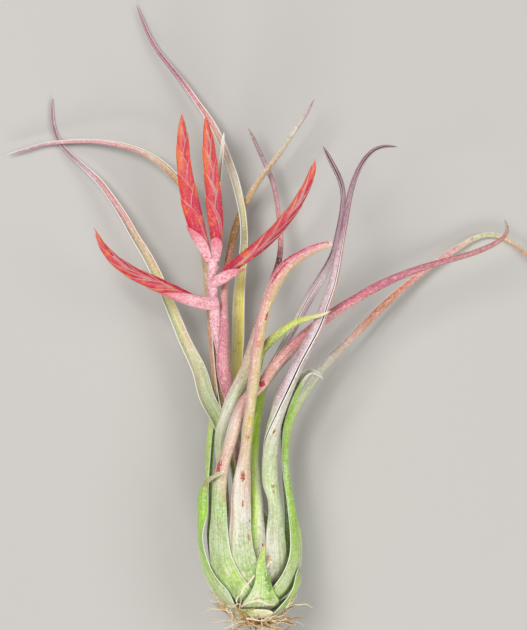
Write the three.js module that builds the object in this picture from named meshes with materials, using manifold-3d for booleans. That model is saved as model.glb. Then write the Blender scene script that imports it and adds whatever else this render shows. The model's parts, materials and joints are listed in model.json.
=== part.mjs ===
// A potless air plant lying on its back: a bulb of leaf sheaths, rolled leaves, a stalk with
// four red flower spikes and a dry root tuft. Millimetres, +Z up. The plant's length runs
// along +Y and the surface it lies on is Z = 0.
import * as THREE from "three";
import { mergeVertices } from "three/addons/utils/BufferGeometryUtils.js";
import Module from "manifold-3d";

const wasm = await Module();
wasm.setup();

// The plant is laid out as it is seen from straight above. A place is a column and a row of
// a 527 x 630 picture with a height over the surface. The picture's scale is right at the
// bulb's middle height, and what is nearer the eye looks larger.
const MM_PER_PIXEL = 0.4;
const CENTRE_COLUMN = 273.2;
const CENTRE_ROW = 315.5;
const EYE_COLUMN = 263.5;
const EYE_ROW = 315;
const EYE_HEIGHT = 1600;
const BULB_MIDDLE = 22;

// The bulb: its length from the base to its widest place, and its axis, which leans a little
// to the left going up
const BULB_REACH = 35;
const BULB_BASE_ROW = 618;
const BULB_BASE_COLUMN = 256;
const AXIS_COLUMNS_PER_ROW = 8 / 138;
const BULB_ROUNDNESS = 2.6;

// The stem in the bulb
const STEM_RADIUS = 5;
const STEM_TAPER = 0.12;
const STEM_LENGTH = 16;
const STEM_BEVEL = 0.9;
const STEM_SIDES = 16;
const SHEATH_FIRST = 0.6;
const SHEATH_LIFT = 1.75;
const SEAT = 0.45;

// Leaf walls and the points across a leaf's rolled section
const SHEATH_WALL = 0.8;
const BLADE_WALL = 0.72;
const LEAF_POINTS = 6;
const SLIT_LEAF_POINTS = 8;
const LONGEST_STEP = 11;
const SHEATH_ANGLES = [2, 14, 28, 44, 60, 76, 90];
const WIDEST_SHARE = 0.45;
const CLASP = 0.8;

const rad = THREE.MathUtils.degToRad;
const side = (angle) => new THREE.Vector3(Math.sin(rad(angle)), 0, Math.cos(rad(angle)));

function seen(column, row, height) {
  const nearer = (EYE_HEIGHT - height) / (EYE_HEIGHT - BULB_MIDDLE);
  return new THREE.Vector3(
    ((EYE_COLUMN - CENTRE_COLUMN) + (column - EYE_COLUMN) * nearer) * MM_PER_PIXEL,
    ((CENTRE_ROW - EYE_ROW) + (EYE_ROW - row) * nearer) * MM_PER_PIXEL,
    height,
  );
}

// A point of the bulb's axis, h mm up from the base
function axisPoint(h) {
  const row = BULB_BASE_ROW - h / MM_PER_PIXEL;
  const column = BULB_BASE_COLUMN + (row - BULB_BASE_ROW) * AXIS_COLUMNS_PER_ROW;
  return seen(column, row, BULB_MIDDLE);
}

const stemRadius = (h) => STEM_RADIUS - STEM_TAPER * h;

// A leaf is a list of stations along its middle line. Each has a place p, the half-width w,
// the half-angle curl of its arched section, the wall and the direction that its outer face
// looks to. Between stations all of them run on smooth cubics over the length.
function slopes(values, at) {
  return values.map((v, i) => {
    const a = Math.max(i - 1, 0);
    const b = Math.min(i + 1, values.length - 1);
    if (a === i || b === i) return (values[b] - values[a]) / (at[b] - at[a]);
    const before = (v - values[a]) / (at[i] - at[a]);
    const after = (values[b] - v) / (at[b] - at[i]);
    return (before * (at[b] - at[i]) + after * (at[i] - at[a])) / (at[b] - at[a]);
  });
}

function cubic(values, at, slope, i, u) {
  const step = at[i + 1] - at[i];
  const u2 = u * u;
  const u3 = u2 * u;
  return (2 * u3 - 3 * u2 + 1) * values[i] + (u3 - 2 * u2 + u) * step * slope[i]
    + (3 * u2 - 2 * u3) * values[i + 1] + (u3 - u2) * step * slope[i + 1];
}

function distances(stations) {
  const at = [0];
  for (let i = 1; i < stations.length; i++) {
    at.push(at[i - 1] + stations[i].p.distanceTo(stations[i - 1].p));
  }
  return at;
}

function tangents(stations) {
  const at = distances(stations);
  const parts = ["x", "y", "z"].map((k) => slopes(stations.map((s) => s.p[k]), at));
  return stations.map((s, i) => new THREE.Vector3(parts[0][i], parts[1][i], parts[2][i]).normalize());
}

// The part of a direction that is square to the line of the leaf
const squareTo = (line, direction) =>
  direction.clone().addScaledVector(line, -direction.dot(line)).normalize();

// Station by station: turns the given facing into a vector square to the leaf's line
function faceStations(stations) {
  tangents(stations).forEach((line, i) => {
    const s = stations[i];
    if (s.facing) {
      s.n = squareTo(line, s.facing);
      return;
    }
    const up = squareTo(line, new THREE.Vector3(0, 0, 1));
    const right = line.clone().cross(up);
    s.n = up.multiplyScalar(Math.cos(rad(s.roll))).addScaledVector(right, Math.sin(rad(s.roll)));
  });
}

function sampled(stations, longestStep) {
  const at = distances(stations);
  const read = [
    (s) => s.p.x, (s) => s.p.y, (s) => s.p.z, (s) => s.w, (s) => s.curl, (s) => s.wall,
    (s) => s.n.x, (s) => s.n.y, (s) => s.n.z,
  ];
  const channels = read.map((f) => stations.map(f));
  const slope = channels.map((c) => slopes(c, at));
  const rings = [];
  for (let i = 0; i + 1 < stations.length; i++) {
    const count = Math.max(1, Math.ceil((at[i + 1] - at[i]) / longestStep));
    const last = i + 2 === stations.length ? 1 : 0;
    for (let k = 0; k < count + last; k++) {
      const v = channels.map((c, j) => cubic(c, at, slope[j], i, k / count));
      rings.push({
        p: new THREE.Vector3(v[0], v[1], v[2]), w: v[3], curl: v[4], wall: v[5],
        n: new THREE.Vector3(v[6], v[7], v[8]),
      });
    }
  }
  tangents(rings).forEach((line, i) => {
    rings[i].line = line;
    rings[i].n = squareTo(line, rings[i].n);
  });
  return rings;
}

// The arched section of one ring: points over the outer face, then over the inner face
function arch(ring, points) {
  const curl = rad(ring.curl);
  const outer = ring.w / Math.sin(Math.min(curl, Math.PI / 2));
  const inner = Math.max(0.3 * outer, outer - ring.wall);
  const wall = outer - inner;
  const halfDepth = (outer * (1 - Math.cos(curl)) + wall * Math.cos(curl)) / 2;
  const centre = ring.p.clone().addScaledVector(ring.n, halfDepth - outer);
  const across = ring.line.clone().cross(ring.n);
  return [outer, inner].map((radius) => Array.from({ length: points }, (_, j) => {
    const a = curl * (2 * j / (points - 1) - 1);
    return centre.clone()
      .addScaledVector(ring.n, radius * Math.cos(a))
      .addScaledVector(across, radius * Math.sin(a));
  }));
}

function closedGeometry(vertices, triangles) {
  const geometry = new THREE.BufferGeometry();
  const places = vertices.flatMap((v) => v.toArray());
  geometry.setAttribute("position", new THREE.Float32BufferAttribute(places, 3));
  geometry.setIndex(triangles.flat());
  return geometry;
}

// Lofts the arched sections into one closed blade. Both faces are split alike, so that the
// thin wall keeps its thickness where the blade twists.
function blade(stations, points = LEAF_POINTS, lowest = -Infinity) {
  faceStations(stations);
  const rings = sampled(stations, LONGEST_STEP).map((ring) => arch(ring, points));
  const vertices = rings.flatMap(([outer, inner]) => [...outer, ...inner]);
  vertices.forEach((v) => { v.z = Math.max(v.z, lowest); });
  const at = (ring, face, j) => (ring * 2 + face) * points + j;
  const triangles = [];
  const quad = (a, b, c, d) => triangles.push([a, b, c], [a, c, d]);
  const end = rings.length - 1;
  for (let j = 0; j + 1 < points; j++) {
    for (let i = 0; i < end; i++) {
      quad(at(i, 0, j), at(i, 0, j + 1), at(i + 1, 0, j + 1), at(i + 1, 0, j));
      quad(at(i + 1, 1, j + 1), at(i, 1, j + 1), at(i, 1, j), at(i + 1, 1, j));
    }
    quad(at(0, 0, j), at(0, 1, j), at(0, 1, j + 1), at(0, 0, j + 1));
    quad(at(end, 0, j + 1), at(end, 1, j + 1), at(end, 1, j), at(end, 0, j));
  }
  for (let i = 0; i < end; i++) {
    quad(at(i, 0, 0), at(i + 1, 0, 0), at(i + 1, 1, 0), at(i, 1, 0));
    quad(at(i + 1, 0, points - 1), at(i, 0, points - 1), at(i, 1, points - 1), at(i + 1, 1, points - 1));
  }
  return closedGeometry(vertices, triangles);
}

// The stations of a sheath: it clasps the stem at its own height, swells out to its radius and
// narrows into the blade
function sheath({ layer, azimuth, radius, widest, neck, until = 90 }) {
  const first = SHEATH_FIRST + SHEATH_LIFT * layer;
  const root = stemRadius(first) + SEAT;
  return SHEATH_ANGLES.filter((angle) => angle <= until).map((angle) => {
    const share = angle / until;
    const h = first + (BULB_REACH - first) * (1 - Math.cos(rad(angle)) ** (2 / BULB_ROUNDNESS));
    const r = root + (radius - root) * Math.sin(rad(angle));
    const climb = (BULB_REACH - first) * (2 / BULB_ROUNDNESS) * Math.sin(rad(angle))
      * Math.cos(rad(angle)) ** (2 / BULB_ROUNDNESS - 1);
    const spread = (radius - root) * Math.cos(rad(angle));
    const rising = climb / Math.hypot(climb, spread);
    const narrowing = THREE.MathUtils.smoothstep(share, WIDEST_SHARE, 1);
    const w = Math.min(THREE.MathUtils.lerp(widest, neck, narrowing), CLASP * r);
    const curl = Math.asin(Math.min(CLASP, (w * rising) / r));
    const facing = side(THREE.MathUtils.lerp(azimuth[0], azimuth[1], share));
    const outwards = facing.clone().multiplyScalar(rising);
    outwards.y = -Math.sqrt(Math.max(0, 1 - rising * rising));
    const depth = (w / Math.sin(curl)) * (1 - Math.cos(curl)) + SHEATH_WALL * Math.cos(curl);
    const p = axisPoint(h).addScaledVector(facing, r).addScaledVector(outwards, -depth / 2);
    return { p, w, curl: THREE.MathUtils.radToDeg(curl), wall: SHEATH_WALL, facing };
  });
}

const row = ([column, line, height, width, curl, roll]) => ({
  p: seen(column, line, height), w: (width * MM_PER_PIXEL) / 2, curl, roll, wall: BLADE_WALL,
});

// Every leaf: its sheath, then its blade as rows of column, row, height, width in pixels,
// curl and roll in degrees. Roll 0 turns the outer face up, 90 to the right of the way up
// the leaf, 180 down to the surface.
const LEAVES = {
  leaf_cut_front: {
    colour: 0xc9bf95,
    sheath: { layer: 3.8, azimuth: [-14, -13], radius: 19.3, widest: 9.4, neck: 4.6 },
    blade: [
      [240.8, 512, 39.6, 21.5, 45, -10], [240.4, 497, 39.2, 20.5, 58, -9],
      [241.5, 480, 38.4, 18, 72, -8], [243.5, 464, 38, 13.5, 90, -6],
      [245.5, 448, 37.8, 11, 105, -4], [247.5, 428, 38, 11, 112, 0], [251, 403, 38.5, 10.5, 112, 6],
      [254.5, 378, 39, 12, 112, 12], [257, 356, 39.5, 11.5, 112, 16], [260.5, 334, 40, 11, 112, 20],
      [265, 312, 40.7, 11.5, 112, 24], [271, 295, 41.5, 12.5, 112, 28],
      [279, 279, 42.3, 13.5, 112, 32], [290, 264.5, 43.2, 13, 112, 36],
      [305, 254.5, 44.2, 11, 112, 40], [320, 247.5, 45, 9, 112, 42], [333, 244, 45.6, 6.5, 110, 42],
    ],
  },
  leaf_pink_right: {
    colour: 0xd77f95,
    sheath: { layer: 2.7, azimuth: [-42, -40], radius: 20.5, widest: 9.6, neck: 5 },
    blade: [
      [217.5, 512, 35.9, 21, 58, -40], [217.5, 495, 35.4, 17, 75, -36],
      [219, 478, 34.8, 15, 90, -30], [223, 462, 35.2, 12.5, 105, -26],
      [227.5, 448, 35.3, 12, 115, -22], [233, 430, 35.2, 13, 118, -18],
      [239, 412, 34.8, 12, 118, -14], [244.5, 401, 34.4, 12, 118, -10],
      [253, 392.5, 34.1, 12, 118, -5], [263, 383, 33.9, 12, 118, 0],
      [275, 366.5, 33.7, 12.5, 118, 0], [290, 350.5, 33.4, 12, 118, 0],
      [305, 335.5, 33.1, 11.5, 118, 0], [318, 324.5, 33, 10.5, 118, 0],
      [335, 312, 32.8, 10, 118, 0], [355, 299.5, 32.5, 9.5, 118, 0], [380, 285, 32.2, 9, 118, 0],
      [400, 276, 32, 8, 118, 0], [420, 268.5, 31.6, 7, 118, 0], [440, 262.5, 31.2, 6, 118, 0],
      [460, 257, 30.7, 6, 118, 0], [480, 250.5, 30.2, 5.5, 118, 0], [495, 243.5, 29.8, 5, 118, 0],
      [504.5, 236.5, 29.5, 4, 118, 0], [508, 228.5, 29.4, 3.5, 118, 0], [504, 219, 29.4, 2, 118, 0],
    ],
  },
  leaf_dry_left: {
    colour: 0xaed06a,
    sheath: { layer: 1.1, azimuth: [-80, -76], radius: 21.55, widest: 12, neck: 5 },
    blade: [
      [201.5, 512, 27.5, 20, 60, -65], [201.3, 500, 28.5, 17, 70, -62],
      [203.2, 490, 30, 13, 80, -58], [206, 483, 32, 10, 85, -60], [209.5, 478.5, 35.6, 8, 85, -75],
      [215.5, 476, 38.2, 6, 80, -90], [222, 473.5, 38.6, 4, 75, -100],
      [226.5, 472, 38.8, 2, 70, -100],
    ],
  },
  leaf_tall_right: {
    colour: 0xd9c9c0,
    points: SLIT_LEAF_POINTS,
    sheath: { layer: 5.3, azimuth: [38, 34], radius: 18.2, widest: 8.2, neck: 4.4 },
    blade: [
      [277, 512, 36, 18, 55, 36], [275.5, 498, 36, 16.5, 75, 40], [272, 482, 35.9, 18, 105, 44],
      [271, 465, 36, 16.5, 130, 67], [271.5, 448, 36.2, 15.5, 146, 98],
      [273.5, 430, 36.6, 14.5, 152, 145], [277.5, 414, 37, 14.5, 152, 172],
      [281.5, 400, 37.4, 15.5, 152, 188], [290.5, 380, 38.2, 13.5, 150, 194],
      [300, 360, 38.9, 12.5, 150, 195], [310, 341, 39.6, 12.5, 150, 198],
      [318, 325, 40.2, 12, 150, 200], [325, 305, 41, 10.5, 150, 204], [332, 285, 41.8, 9, 150, 206],
      [337, 262, 42.6, 8, 150, 206], [341, 240, 43.3, 7, 150, 206], [345, 219, 44, 6.5, 150, 206],
      [349, 197, 44.5, 6, 150, 206], [357, 172, 44.9, 5, 145, 206], [366, 157, 45.1, 4.5, 140, 206],
      [374, 149.5, 45.2, 4, 135, 206], [385, 146, 45.2, 3.5, 130, 206], [398, 147, 45, 2.4, 125, 206],
    ],
  },
  leaf_channel_right: {
    colour: 0xb9a9a5,
    points: SLIT_LEAF_POINTS,
    sheath: { layer: 6.3, azimuth: [8, 10], radius: 15.6, widest: 7.5, neck: 3.2 },
    blade: [
      [257.5, 512, 34.5, 14, 60, 12], [257, 497, 32.8, 14, 75, 14], [255.5, 480, 31, 12.5, 90, 18],
      [254.5, 462, 29.5, 10, 105, 24], [255.5, 442, 28.2, 9, 115, 34],
      [257.5, 422, 27.2, 9, 125, 50], [260.5, 402, 26.5, 9, 135, 75],
      [265, 384, 26.2, 8.5, 145, 110], [272, 368, 26.2, 8.5, 150, 140],
      [281, 352, 26.4, 8.5, 150, 155], [290, 335, 26.8, 8.5, 152, 165],
      [299, 317, 27.4, 9, 152, 170], [309, 298, 28.2, 10, 152, 172], [322, 277, 29.6, 9, 152, 172],
      [333, 255, 31.2, 7, 152, 172], [338, 233, 32.8, 5.5, 150, 172], [342, 211, 34.2, 5, 150, 172],
      [343.5, 197, 35, 5.5, 150, 172], [341, 182, 35.6, 5.5, 145, 172],
      [332, 163, 36.2, 5, 140, 172], [323, 146, 36.6, 3.2, 130, 172],
    ],
  },
  leaf_short_green: {
    colour: 0xb7cf4a,
    sheath: { layer: 7.1, azimuth: [-12, -8], radius: 12, widest: 5.5, neck: 2.4 },
    blade: [
      [246, 512, 31.5, 9, 70, -5], [244.5, 490, 30, 8.5, 85, -4], [244, 468, 29.4, 8, 100, -2],
      [244.4, 446, 29.6, 7.6, 110, 0], [246.4, 424, 30, 7.6, 115, 2], [249.8, 404, 30, 7.8, 118, 4],
      [253.6, 385, 30.2, 8.2, 118, 6], [257.6, 368, 31.2, 8.8, 118, 8], [262, 352, 33, 9, 118, 12],
      [269, 343, 35, 9, 118, 20], [278, 335, 37.2, 8.5, 118, 20], [288, 327.5, 39.6, 7.5, 118, 20],
      [298, 321.5, 42, 6, 118, 20], [310, 318, 44, 5, 115, 20], [322, 315, 45, 3.4, 110, 20],
      [331, 311, 45.4, 1.8, 100, 20],
    ],
  },
  leaf_curved_centre: {
    colour: 0xc7bf9d,
    sheath: { layer: 5.5, azimuth: [-82, -68], radius: 15.5, widest: 7.8, neck: 3.4 },
    blade: [
      [225.5, 512, 26.5, 13, 65, -60], [224, 495, 27, 12.5, 80, -60], [222, 478, 27.4, 12, 92, -60],
      [219.5, 462, 27.8, 11, 102, -58], [218, 446, 28.2, 10.5, 110, -56],
      [220, 430, 29, 12.5, 115, -50], [225.5, 414, 30, 14, 118, -44], [231, 400, 30.6, 14.5, 118, -40],
      [238, 385, 30.4, 14, 118, -40], [244, 370, 29.4, 12.5, 118, -42],
      [249.5, 352, 27.6, 11, 118, -46], [255.5, 332, 25.4, 10, 118, -50], [262, 311, 22.8, 9, 118, -54],
      [267.5, 295, 20.6, 8.5, 118, -58], [272, 280, 18.6, 8, 118, -60], [278, 262, 16.2, 7, 118, -60],
      [280, 245, 14.2, 6.5, 118, -60], [279, 225, 12.4, 6, 118, -60], [276, 200, 11, 5.5, 118, -60],
      [272, 182, 10.4, 5.5, 118, -60], [264, 163, 10, 5, 118, -60], [256, 145, 10, 4.5, 118, -60],
      [248, 127, 10.6, 2.6, 110, -60],
    ],
  },
  leaf_long_left: {
    colour: 0xc3bda0,
    sheath: { layer: 6.8, azimuth: [-150, -146], radius: 9.5, widest: 5, neck: 2.8 },
    blade: [
      [239.5, 512, 14.6, 14, 70, -146], [238.5, 494, 14.2, 14, 80, -148],
      [236.8, 476, 14.2, 14, 84, -150], [233.5, 460, 14.6, 14.5, 84, -152],
      [228, 444, 15.2, 15, 82, -154], [221.5, 429, 15.8, 15.5, 80, -156],
      [214.5, 414, 16.2, 16, 78, -158], [207, 400, 16.4, 17, 76, -158], [198, 370, 16.2, 16, 76, -158],
      [185, 342.6, 15.6, 13.5, 78, -158], [172.6, 313, 14.8, 12, 80, -158],
      [160, 283.7, 13.6, 11, 84, -158], [147.4, 258.4, 12.2, 10.5, 88, -158],
      [134.7, 237.4, 10.8, 9.5, 92, -158], [124, 218.4, 9.4, 9, 98, -158],
      [111.6, 199.5, 7.8, 8, 106, -158], [99, 182.6, 6, 7.5, 114, -158], [84, 168, 3.9, 6, 118, -158],
      [69.5, 155, 1.8, 5.5, 118, -158], [58.5, 141.5, 0.66, 4.6, 118, -158],
      [53, 126, 0.55, 4.2, 118, -158], [51.6, 112, 0.6, 3.6, 115, -158],
      [52.6, 97.4, 0.6, 2, 110, -158],
    ],
  },
  leaf_arch_left: {
    colour: 0xc9a98f,
    sheath: { layer: 3.6, azimuth: [-126, -118], radius: 18.5, widest: 8.6, neck: 4.2 },
    blade: [
      [210.5, 512, 13.6, 16, 55, -116], [209, 495, 12.8, 13, 72, -114],
      [208.5, 478, 12, 11.5, 88, -112], [209, 460, 11.2, 11, 100, -110],
      [210, 440, 10.6, 11, 110, -110], [213, 415, 10.2, 11, 116, -112],
      [215, 390, 10.4, 11.5, 118, -114], [214.5, 365, 11.2, 11.5, 118, -114],
      [212.3, 340, 12.2, 11.2, 118, -112], [209.6, 310, 13.4, 10.6, 118, -110],
      [206.8, 280, 14.4, 10.2, 118, -110], [203.4, 250, 15, 10, 118, -110],
      [198.4, 225, 14.8, 10, 118, -110], [190, 200, 13.8, 10, 118, -110],
      [177, 180.5, 12.4, 9.6, 118, -110], [164, 167, 11.2, 9, 118, -110],
      [147.4, 155.5, 9.8, 8, 118, -110], [126, 147, 8, 7, 118, -110], [105, 143, 6, 6, 118, -110],
      [84, 141.6, 4.2, 5.5, 118, -110], [63, 142.6, 3.2, 5, 118, -110],
      [42, 145, 2.8, 4, 118, -110], [25.3, 150, 2.8, 3.4, 115, -110],
      [6.3, 154.8, 3, 1.8, 110, -110],
    ],
  },
  leaf_tallest_back: {
    colour: 0xcfc48f,
    sheath: { layer: 4.9, azimuth: [-176, -165], radius: 16.5, widest: 8, neck: 4.2 },
    blade: [
      [240, 512, 7.8, 17, 60, -166], [238.5, 492, 8.4, 15, 76, -167], [237, 470, 9, 13.5, 84, -168],
      [236, 448, 9.6, 12.5, 84, -170], [235.3, 424, 10.2, 12, 82, -170],
      [235.2, 400, 10.8, 12, 80, -170], [236, 372, 11.4, 12.2, 78, -170],
      [237.7, 340, 12.2, 13, 76, -170], [238, 310, 13, 13, 76, -168], [239.8, 280, 13.8, 11, 78, -165],
      [242.5, 255, 14.6, 9, 82, -162], [243.5, 235, 15.3, 8.2, 86, -160],
      [242.3, 216, 15.7, 8, 88, -158], [239, 199, 15.4, 8.5, 90, -155], [234, 180, 14.2, 9.5, 94, -150],
      [227, 160, 12.4, 9, 98, -148], [219, 140, 10.4, 8.5, 102, -146], [210, 123, 8.8, 8, 108, -145],
      [197, 104, 7.2, 7, 114, -145], [183, 84, 5.6, 6, 118, -145], [170, 67, 4.2, 5, 118, -145],
      [158, 52, 2.9, 4.5, 118, -145], [148, 35, 1.9, 4, 118, -145], [141, 18, 1.4, 3, 115, -145],
      [136, 4, 1.3, 1.6, 110, -145],
    ],
  },
  leaf_small_left: {
    colour: 0xc08a80,
    sheath: { layer: 7.7, azimuth: [160, 162], radius: 6, widest: 3.6, neck: 1.7 },
    blade: [
      [253.5, 512, 17.4, 8.5, 75, 165], [250, 494, 17.6, 8.5, 90, 170],
      [245.5, 476, 17.9, 8.5, 100, 175], [240.5, 458, 18.3, 8.5, 108, 180],
      [235, 441, 18.7, 8.5, 112, 180], [229, 424, 19, 8.5, 115, 180],
      [223.5, 404, 19.2, 8.2, 115, 180], [219.5, 380, 19.2, 8, 115, 180],
      [217, 356, 19.2, 8, 115, 180], [215.3, 332, 19.4, 8, 115, 180],
      [214.3, 305, 19.6, 7.8, 115, 180], [214.3, 278, 19.8, 7.6, 115, 180],
      [215, 250, 20, 7.4, 115, 180], [215.8, 222, 20.3, 7, 115, 180],
      [217.2, 196, 20.7, 6.4, 115, 180], [219, 175, 21, 5.8, 115, 180],
      [220.4, 163, 21.2, 5, 115, 180], [222, 150, 21.4, 4.2, 115, 180],
      [223, 140, 21.6, 3.4, 110, 180], [224, 132, 21.8, 1.8, 105, 180],
    ],
  },
  leaf_long_right: {
    colour: 0xc9a98f,
    sheath: { layer: 4.2, azimuth: [124, 118], radius: 18.4, widest: 9, neck: 4.4 },
    blade: [
      [289.5, 512, 13.6, 16, 55, 116], [288, 495, 13.4, 13.5, 70, 114], [286.5, 478, 13.4, 12, 85, 112],
      [286, 460, 13.6, 11, 98, 109], [286.5, 443, 14, 10.5, 108, 106],
      [289.5, 426, 14.4, 10.5, 114, 102], [296.5, 408, 14.6, 10.5, 118, 97],
      [305, 394.5, 14.2, 10.5, 118, 93], [315, 378.5, 13.4, 10.5, 118, 90],
      [328, 362, 12.3, 11, 118, 88], [345, 345, 10.9, 11, 118, 86], [365, 325, 9.1, 11, 118, 85],
      [385, 305, 7.4, 10.5, 118, 85], [405, 287, 5.8, 9.5, 118, 85], [425, 271, 4.3, 8.5, 118, 85],
      [445, 257, 3.2, 8.4, 118, 85], [460, 247, 2.3, 8, 118, 85], [475, 238.5, 1.62, 7.5, 118, 85],
      [488, 235.2, 1.36, 7, 118, 85], [500, 237, 1.47, 6.5, 118, 85], [512, 243.3, 1.82, 5.5, 118, 85],
      [527, 256, 2.52, 4.5, 115, 85], [539, 267.5, 3.32, 2.6, 110, 85],
    ],
  },
  leaf_dry_right: {
    colour: 0xaed06a,
    sheath: { layer: 3.1, azimuth: [66, 62], radius: 20.8, widest: 10.2, neck: 4.6 },
    blade: [
      [293, 512, 30.2, 16, 55, 64], [290.5, 496, 29.4, 14, 70, 70],
      [287.5, 480, 28.6, 12.5, 85, 78], [285.5, 462, 28.1, 11.5, 100, 88],
      [285, 444, 27.9, 11, 112, 98], [285.8, 428, 27.9, 11, 118, 108],
      [289, 412, 28.1, 11, 120, 118], [293.5, 397.5, 28.5, 11, 120, 126],
      [299.5, 385, 29, 10.5, 120, 130], [305.5, 375.5, 29.6, 9.5, 115, 130],
      [311, 371.5, 30.2, 7, 105, 128], [317.5, 374, 30.4, 5, 95, 125],
      [323.5, 379.5, 30.2, 2.4, 90, 120],
    ],
  },
  stalk_leaf: {
    colour: 0xd98f98,
    blade: [
      [232, 402, 25.2, 13, 75, 30], [229.5, 392, 25.6, 14, 85, 25], [226.5, 378, 26.2, 15, 90, 22],
      [224.4, 364, 26.8, 15, 90, 22], [224.4, 350, 27.2, 13, 92, 26],
      [225.2, 338, 27, 10.5, 100, 32], [225.6, 325, 26.2, 8.8, 110, 40],
      [225.2, 312, 24.8, 8.2, 115, 45], [225.2, 296, 23, 8, 115, 50], [226.3, 280, 21, 8, 115, 50],
      [229, 262, 18.6, 8, 115, 52], [233, 243, 15.6, 8.5, 115, 54],
      [237.5, 225, 12.8, 8.5, 115, 56], [243.5, 209, 11.2, 8, 115, 58],
      [250.5, 196, 11.6, 7.5, 115, 60], [259, 182, 13.8, 7, 115, 62],
      [268, 169.5, 16.6, 6.5, 115, 64], [278, 156.5, 18.4, 6, 115, 66],
      [288, 142, 19.4, 5.5, 115, 68], [298, 127, 20, 5, 115, 70], [308, 112, 20.2, 4, 112, 70],
      [315, 97, 20, 2.2, 105, 70],
    ],
  },
  scale_front: {
    colour: 0xa9d23f,
    sheath: { layer: 1.6, azimuth: [11, 11], radius: 21.9, widest: 7.3, neck: 3, until: 60 },
    blade: [
      [261, 564, 41.6, 9, 12, 10], [262.8, 554, 42, 5.5, 12, 10], [265, 545, 42.2, 2, 12, 10],
    ],
  },
  scale_right: {
    colour: 0xa9cf5a,
    sheath: { layer: 1.1, azimuth: [80, 66], radius: 22.2, widest: 8.2, neck: 3.6, until: 60 },
    blade: [
      [297.5, 572, 30.6, 8, 20, 66], [300.5, 566, 31, 3, 20, 66],
    ],
  },
  scale_base: {
    colour: 0xd6d8b4,
    sheath: { layer: 0, azimuth: [-6, -3], radius: 21.8, widest: 9.6, neck: 6.5, until: 42 },
    blade: [],
  },
  scale_back: {
    colour: 0xc4cf8f,
    lowest: 0,
    sheath: { layer: 0, azimuth: [180, 180], radius: 22.6, widest: 13, neck: 9 },
    blade: [
      [249.8, 514, 1.4, 34, 25, 180], [249.5, 500, 2.2, 20, 25, 180], [249, 488, 3.2, 6, 25, 180],
    ],
  },
};

// A round rod through rows of column, row, height and width in pixels
function rod(rows, sides, flatness = 1) {
  const stations = rows.map(([column, line, height, width]) => ({
    p: seen(column, line, height), w: (width * MM_PER_PIXEL) / 2, curl: 90, wall: 1, roll: 0,
  }));
  faceStations(stations);
  const rings = sampled(stations, LONGEST_STEP);
  const vertices = rings.flatMap((ring) => Array.from({ length: sides }, (_, j) => {
    const a = (2 * Math.PI * j) / sides;
    return ring.p.clone()
      .addScaledVector(ring.n, ring.w * flatness * Math.cos(a))
      .addScaledVector(ring.line.clone().cross(ring.n), ring.w * Math.sin(a));
  }));
  const triangles = [];
  const end = (rings.length - 1) * sides;
  for (let j = 0; j < sides; j++) {
    const next = (j + 1) % sides;
    for (let i = 0; i < end; i += sides) {
      triangles.push([i + j, i + next, i + sides + next], [i + j, i + sides + next, i + sides + j]);
    }
    if (j > 0 && next > 0) {
      triangles.push([0, next, j], [end, end + j, end + next]);
    }
  }
  return closedGeometry(vertices, triangles);
}

function toSolid(geometry) {
  const plain = geometry.clone();
  plain.deleteAttribute("normal");
  plain.deleteAttribute("uv");
  const merged = mergeVertices(plain, 1e-4);
  return new wasm.Manifold(new wasm.Mesh({
    numProp: 3,
    vertProperties: new Float32Array(merged.attributes.position.array),
    triVerts: new Uint32Array(merged.index.array),
  }));
}

function toGeometry(solid) {
  const { vertProperties, triVerts } = solid.getMesh();
  const geometry = new THREE.BufferGeometry();
  geometry.setAttribute("position", new THREE.Float32BufferAttribute(vertProperties, 3));
  geometry.setIndex(Array.from(triVerts));
  return geometry;
}

const fused = (geometries) => toGeometry(geometries.map(toSolid).reduce((a, b) => a.add(b)));

// A flower spike: a flat core and two ranks of overlapping boat-shaped bracts, whose keels
// make its edges. A bract covers a share of the spike's length, its rings and arc are shares of
// its own length and breadth, and its breadth and depth grow as shares of the half-width.
const BRACTS = 9;
const BRACT_SHARE = 0.36;
const FIRST_BRACT = 0.02;
const BRACT_RINGS = [0, 0.3, 0.6, 0.85, 1];
const BRACT_ARC = [-1, -0.55, 0, 0.55, 1];
const BRACT_FOOT = 0.72;
const BRACT_SPREADS = 0.36;
const BRACT_LIFT = 0.12;
const BRACT_OPENING = 0.12;
const KEEL_STANDS_OUT = 0.35;
const THINNEST_BRACT = 0.16;
const SPIKE_FLATNESS = 0.55;
const BRACT_DEPTH = [0.9, 0.35];
const TIP_ROUNDING = 1.02;
const CORE_WIDTH = 0.72;
const CORE_FLATNESS = 0.6;

function spikeFrame(rows) {
  const stations = rows.map(([column, line, height, width]) => ({
    p: seen(column, line, height), w: (width * MM_PER_PIXEL) / 2, curl: 90, wall: 1, roll: 0,
  }));
  faceStations(stations);
  const rings = sampled(stations, 2);
  const at = distances(rings);
  const length = at[at.length - 1];
  return (share) => {
    const s = THREE.MathUtils.clamp(share, 0, 1) * length;
    const i = Math.min(at.findLastIndex((d) => d <= s), rings.length - 2);
    const u = (s - at[i]) / (at[i + 1] - at[i]);
    return {
      p: rings[i].p.clone().lerp(rings[i + 1].p, u),
      w: THREE.MathUtils.lerp(rings[i].w, rings[i + 1].w, u),
      up: rings[i].n,
      across: rings[i].line.clone().cross(rings[i].n),
    };
  };
}

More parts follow.
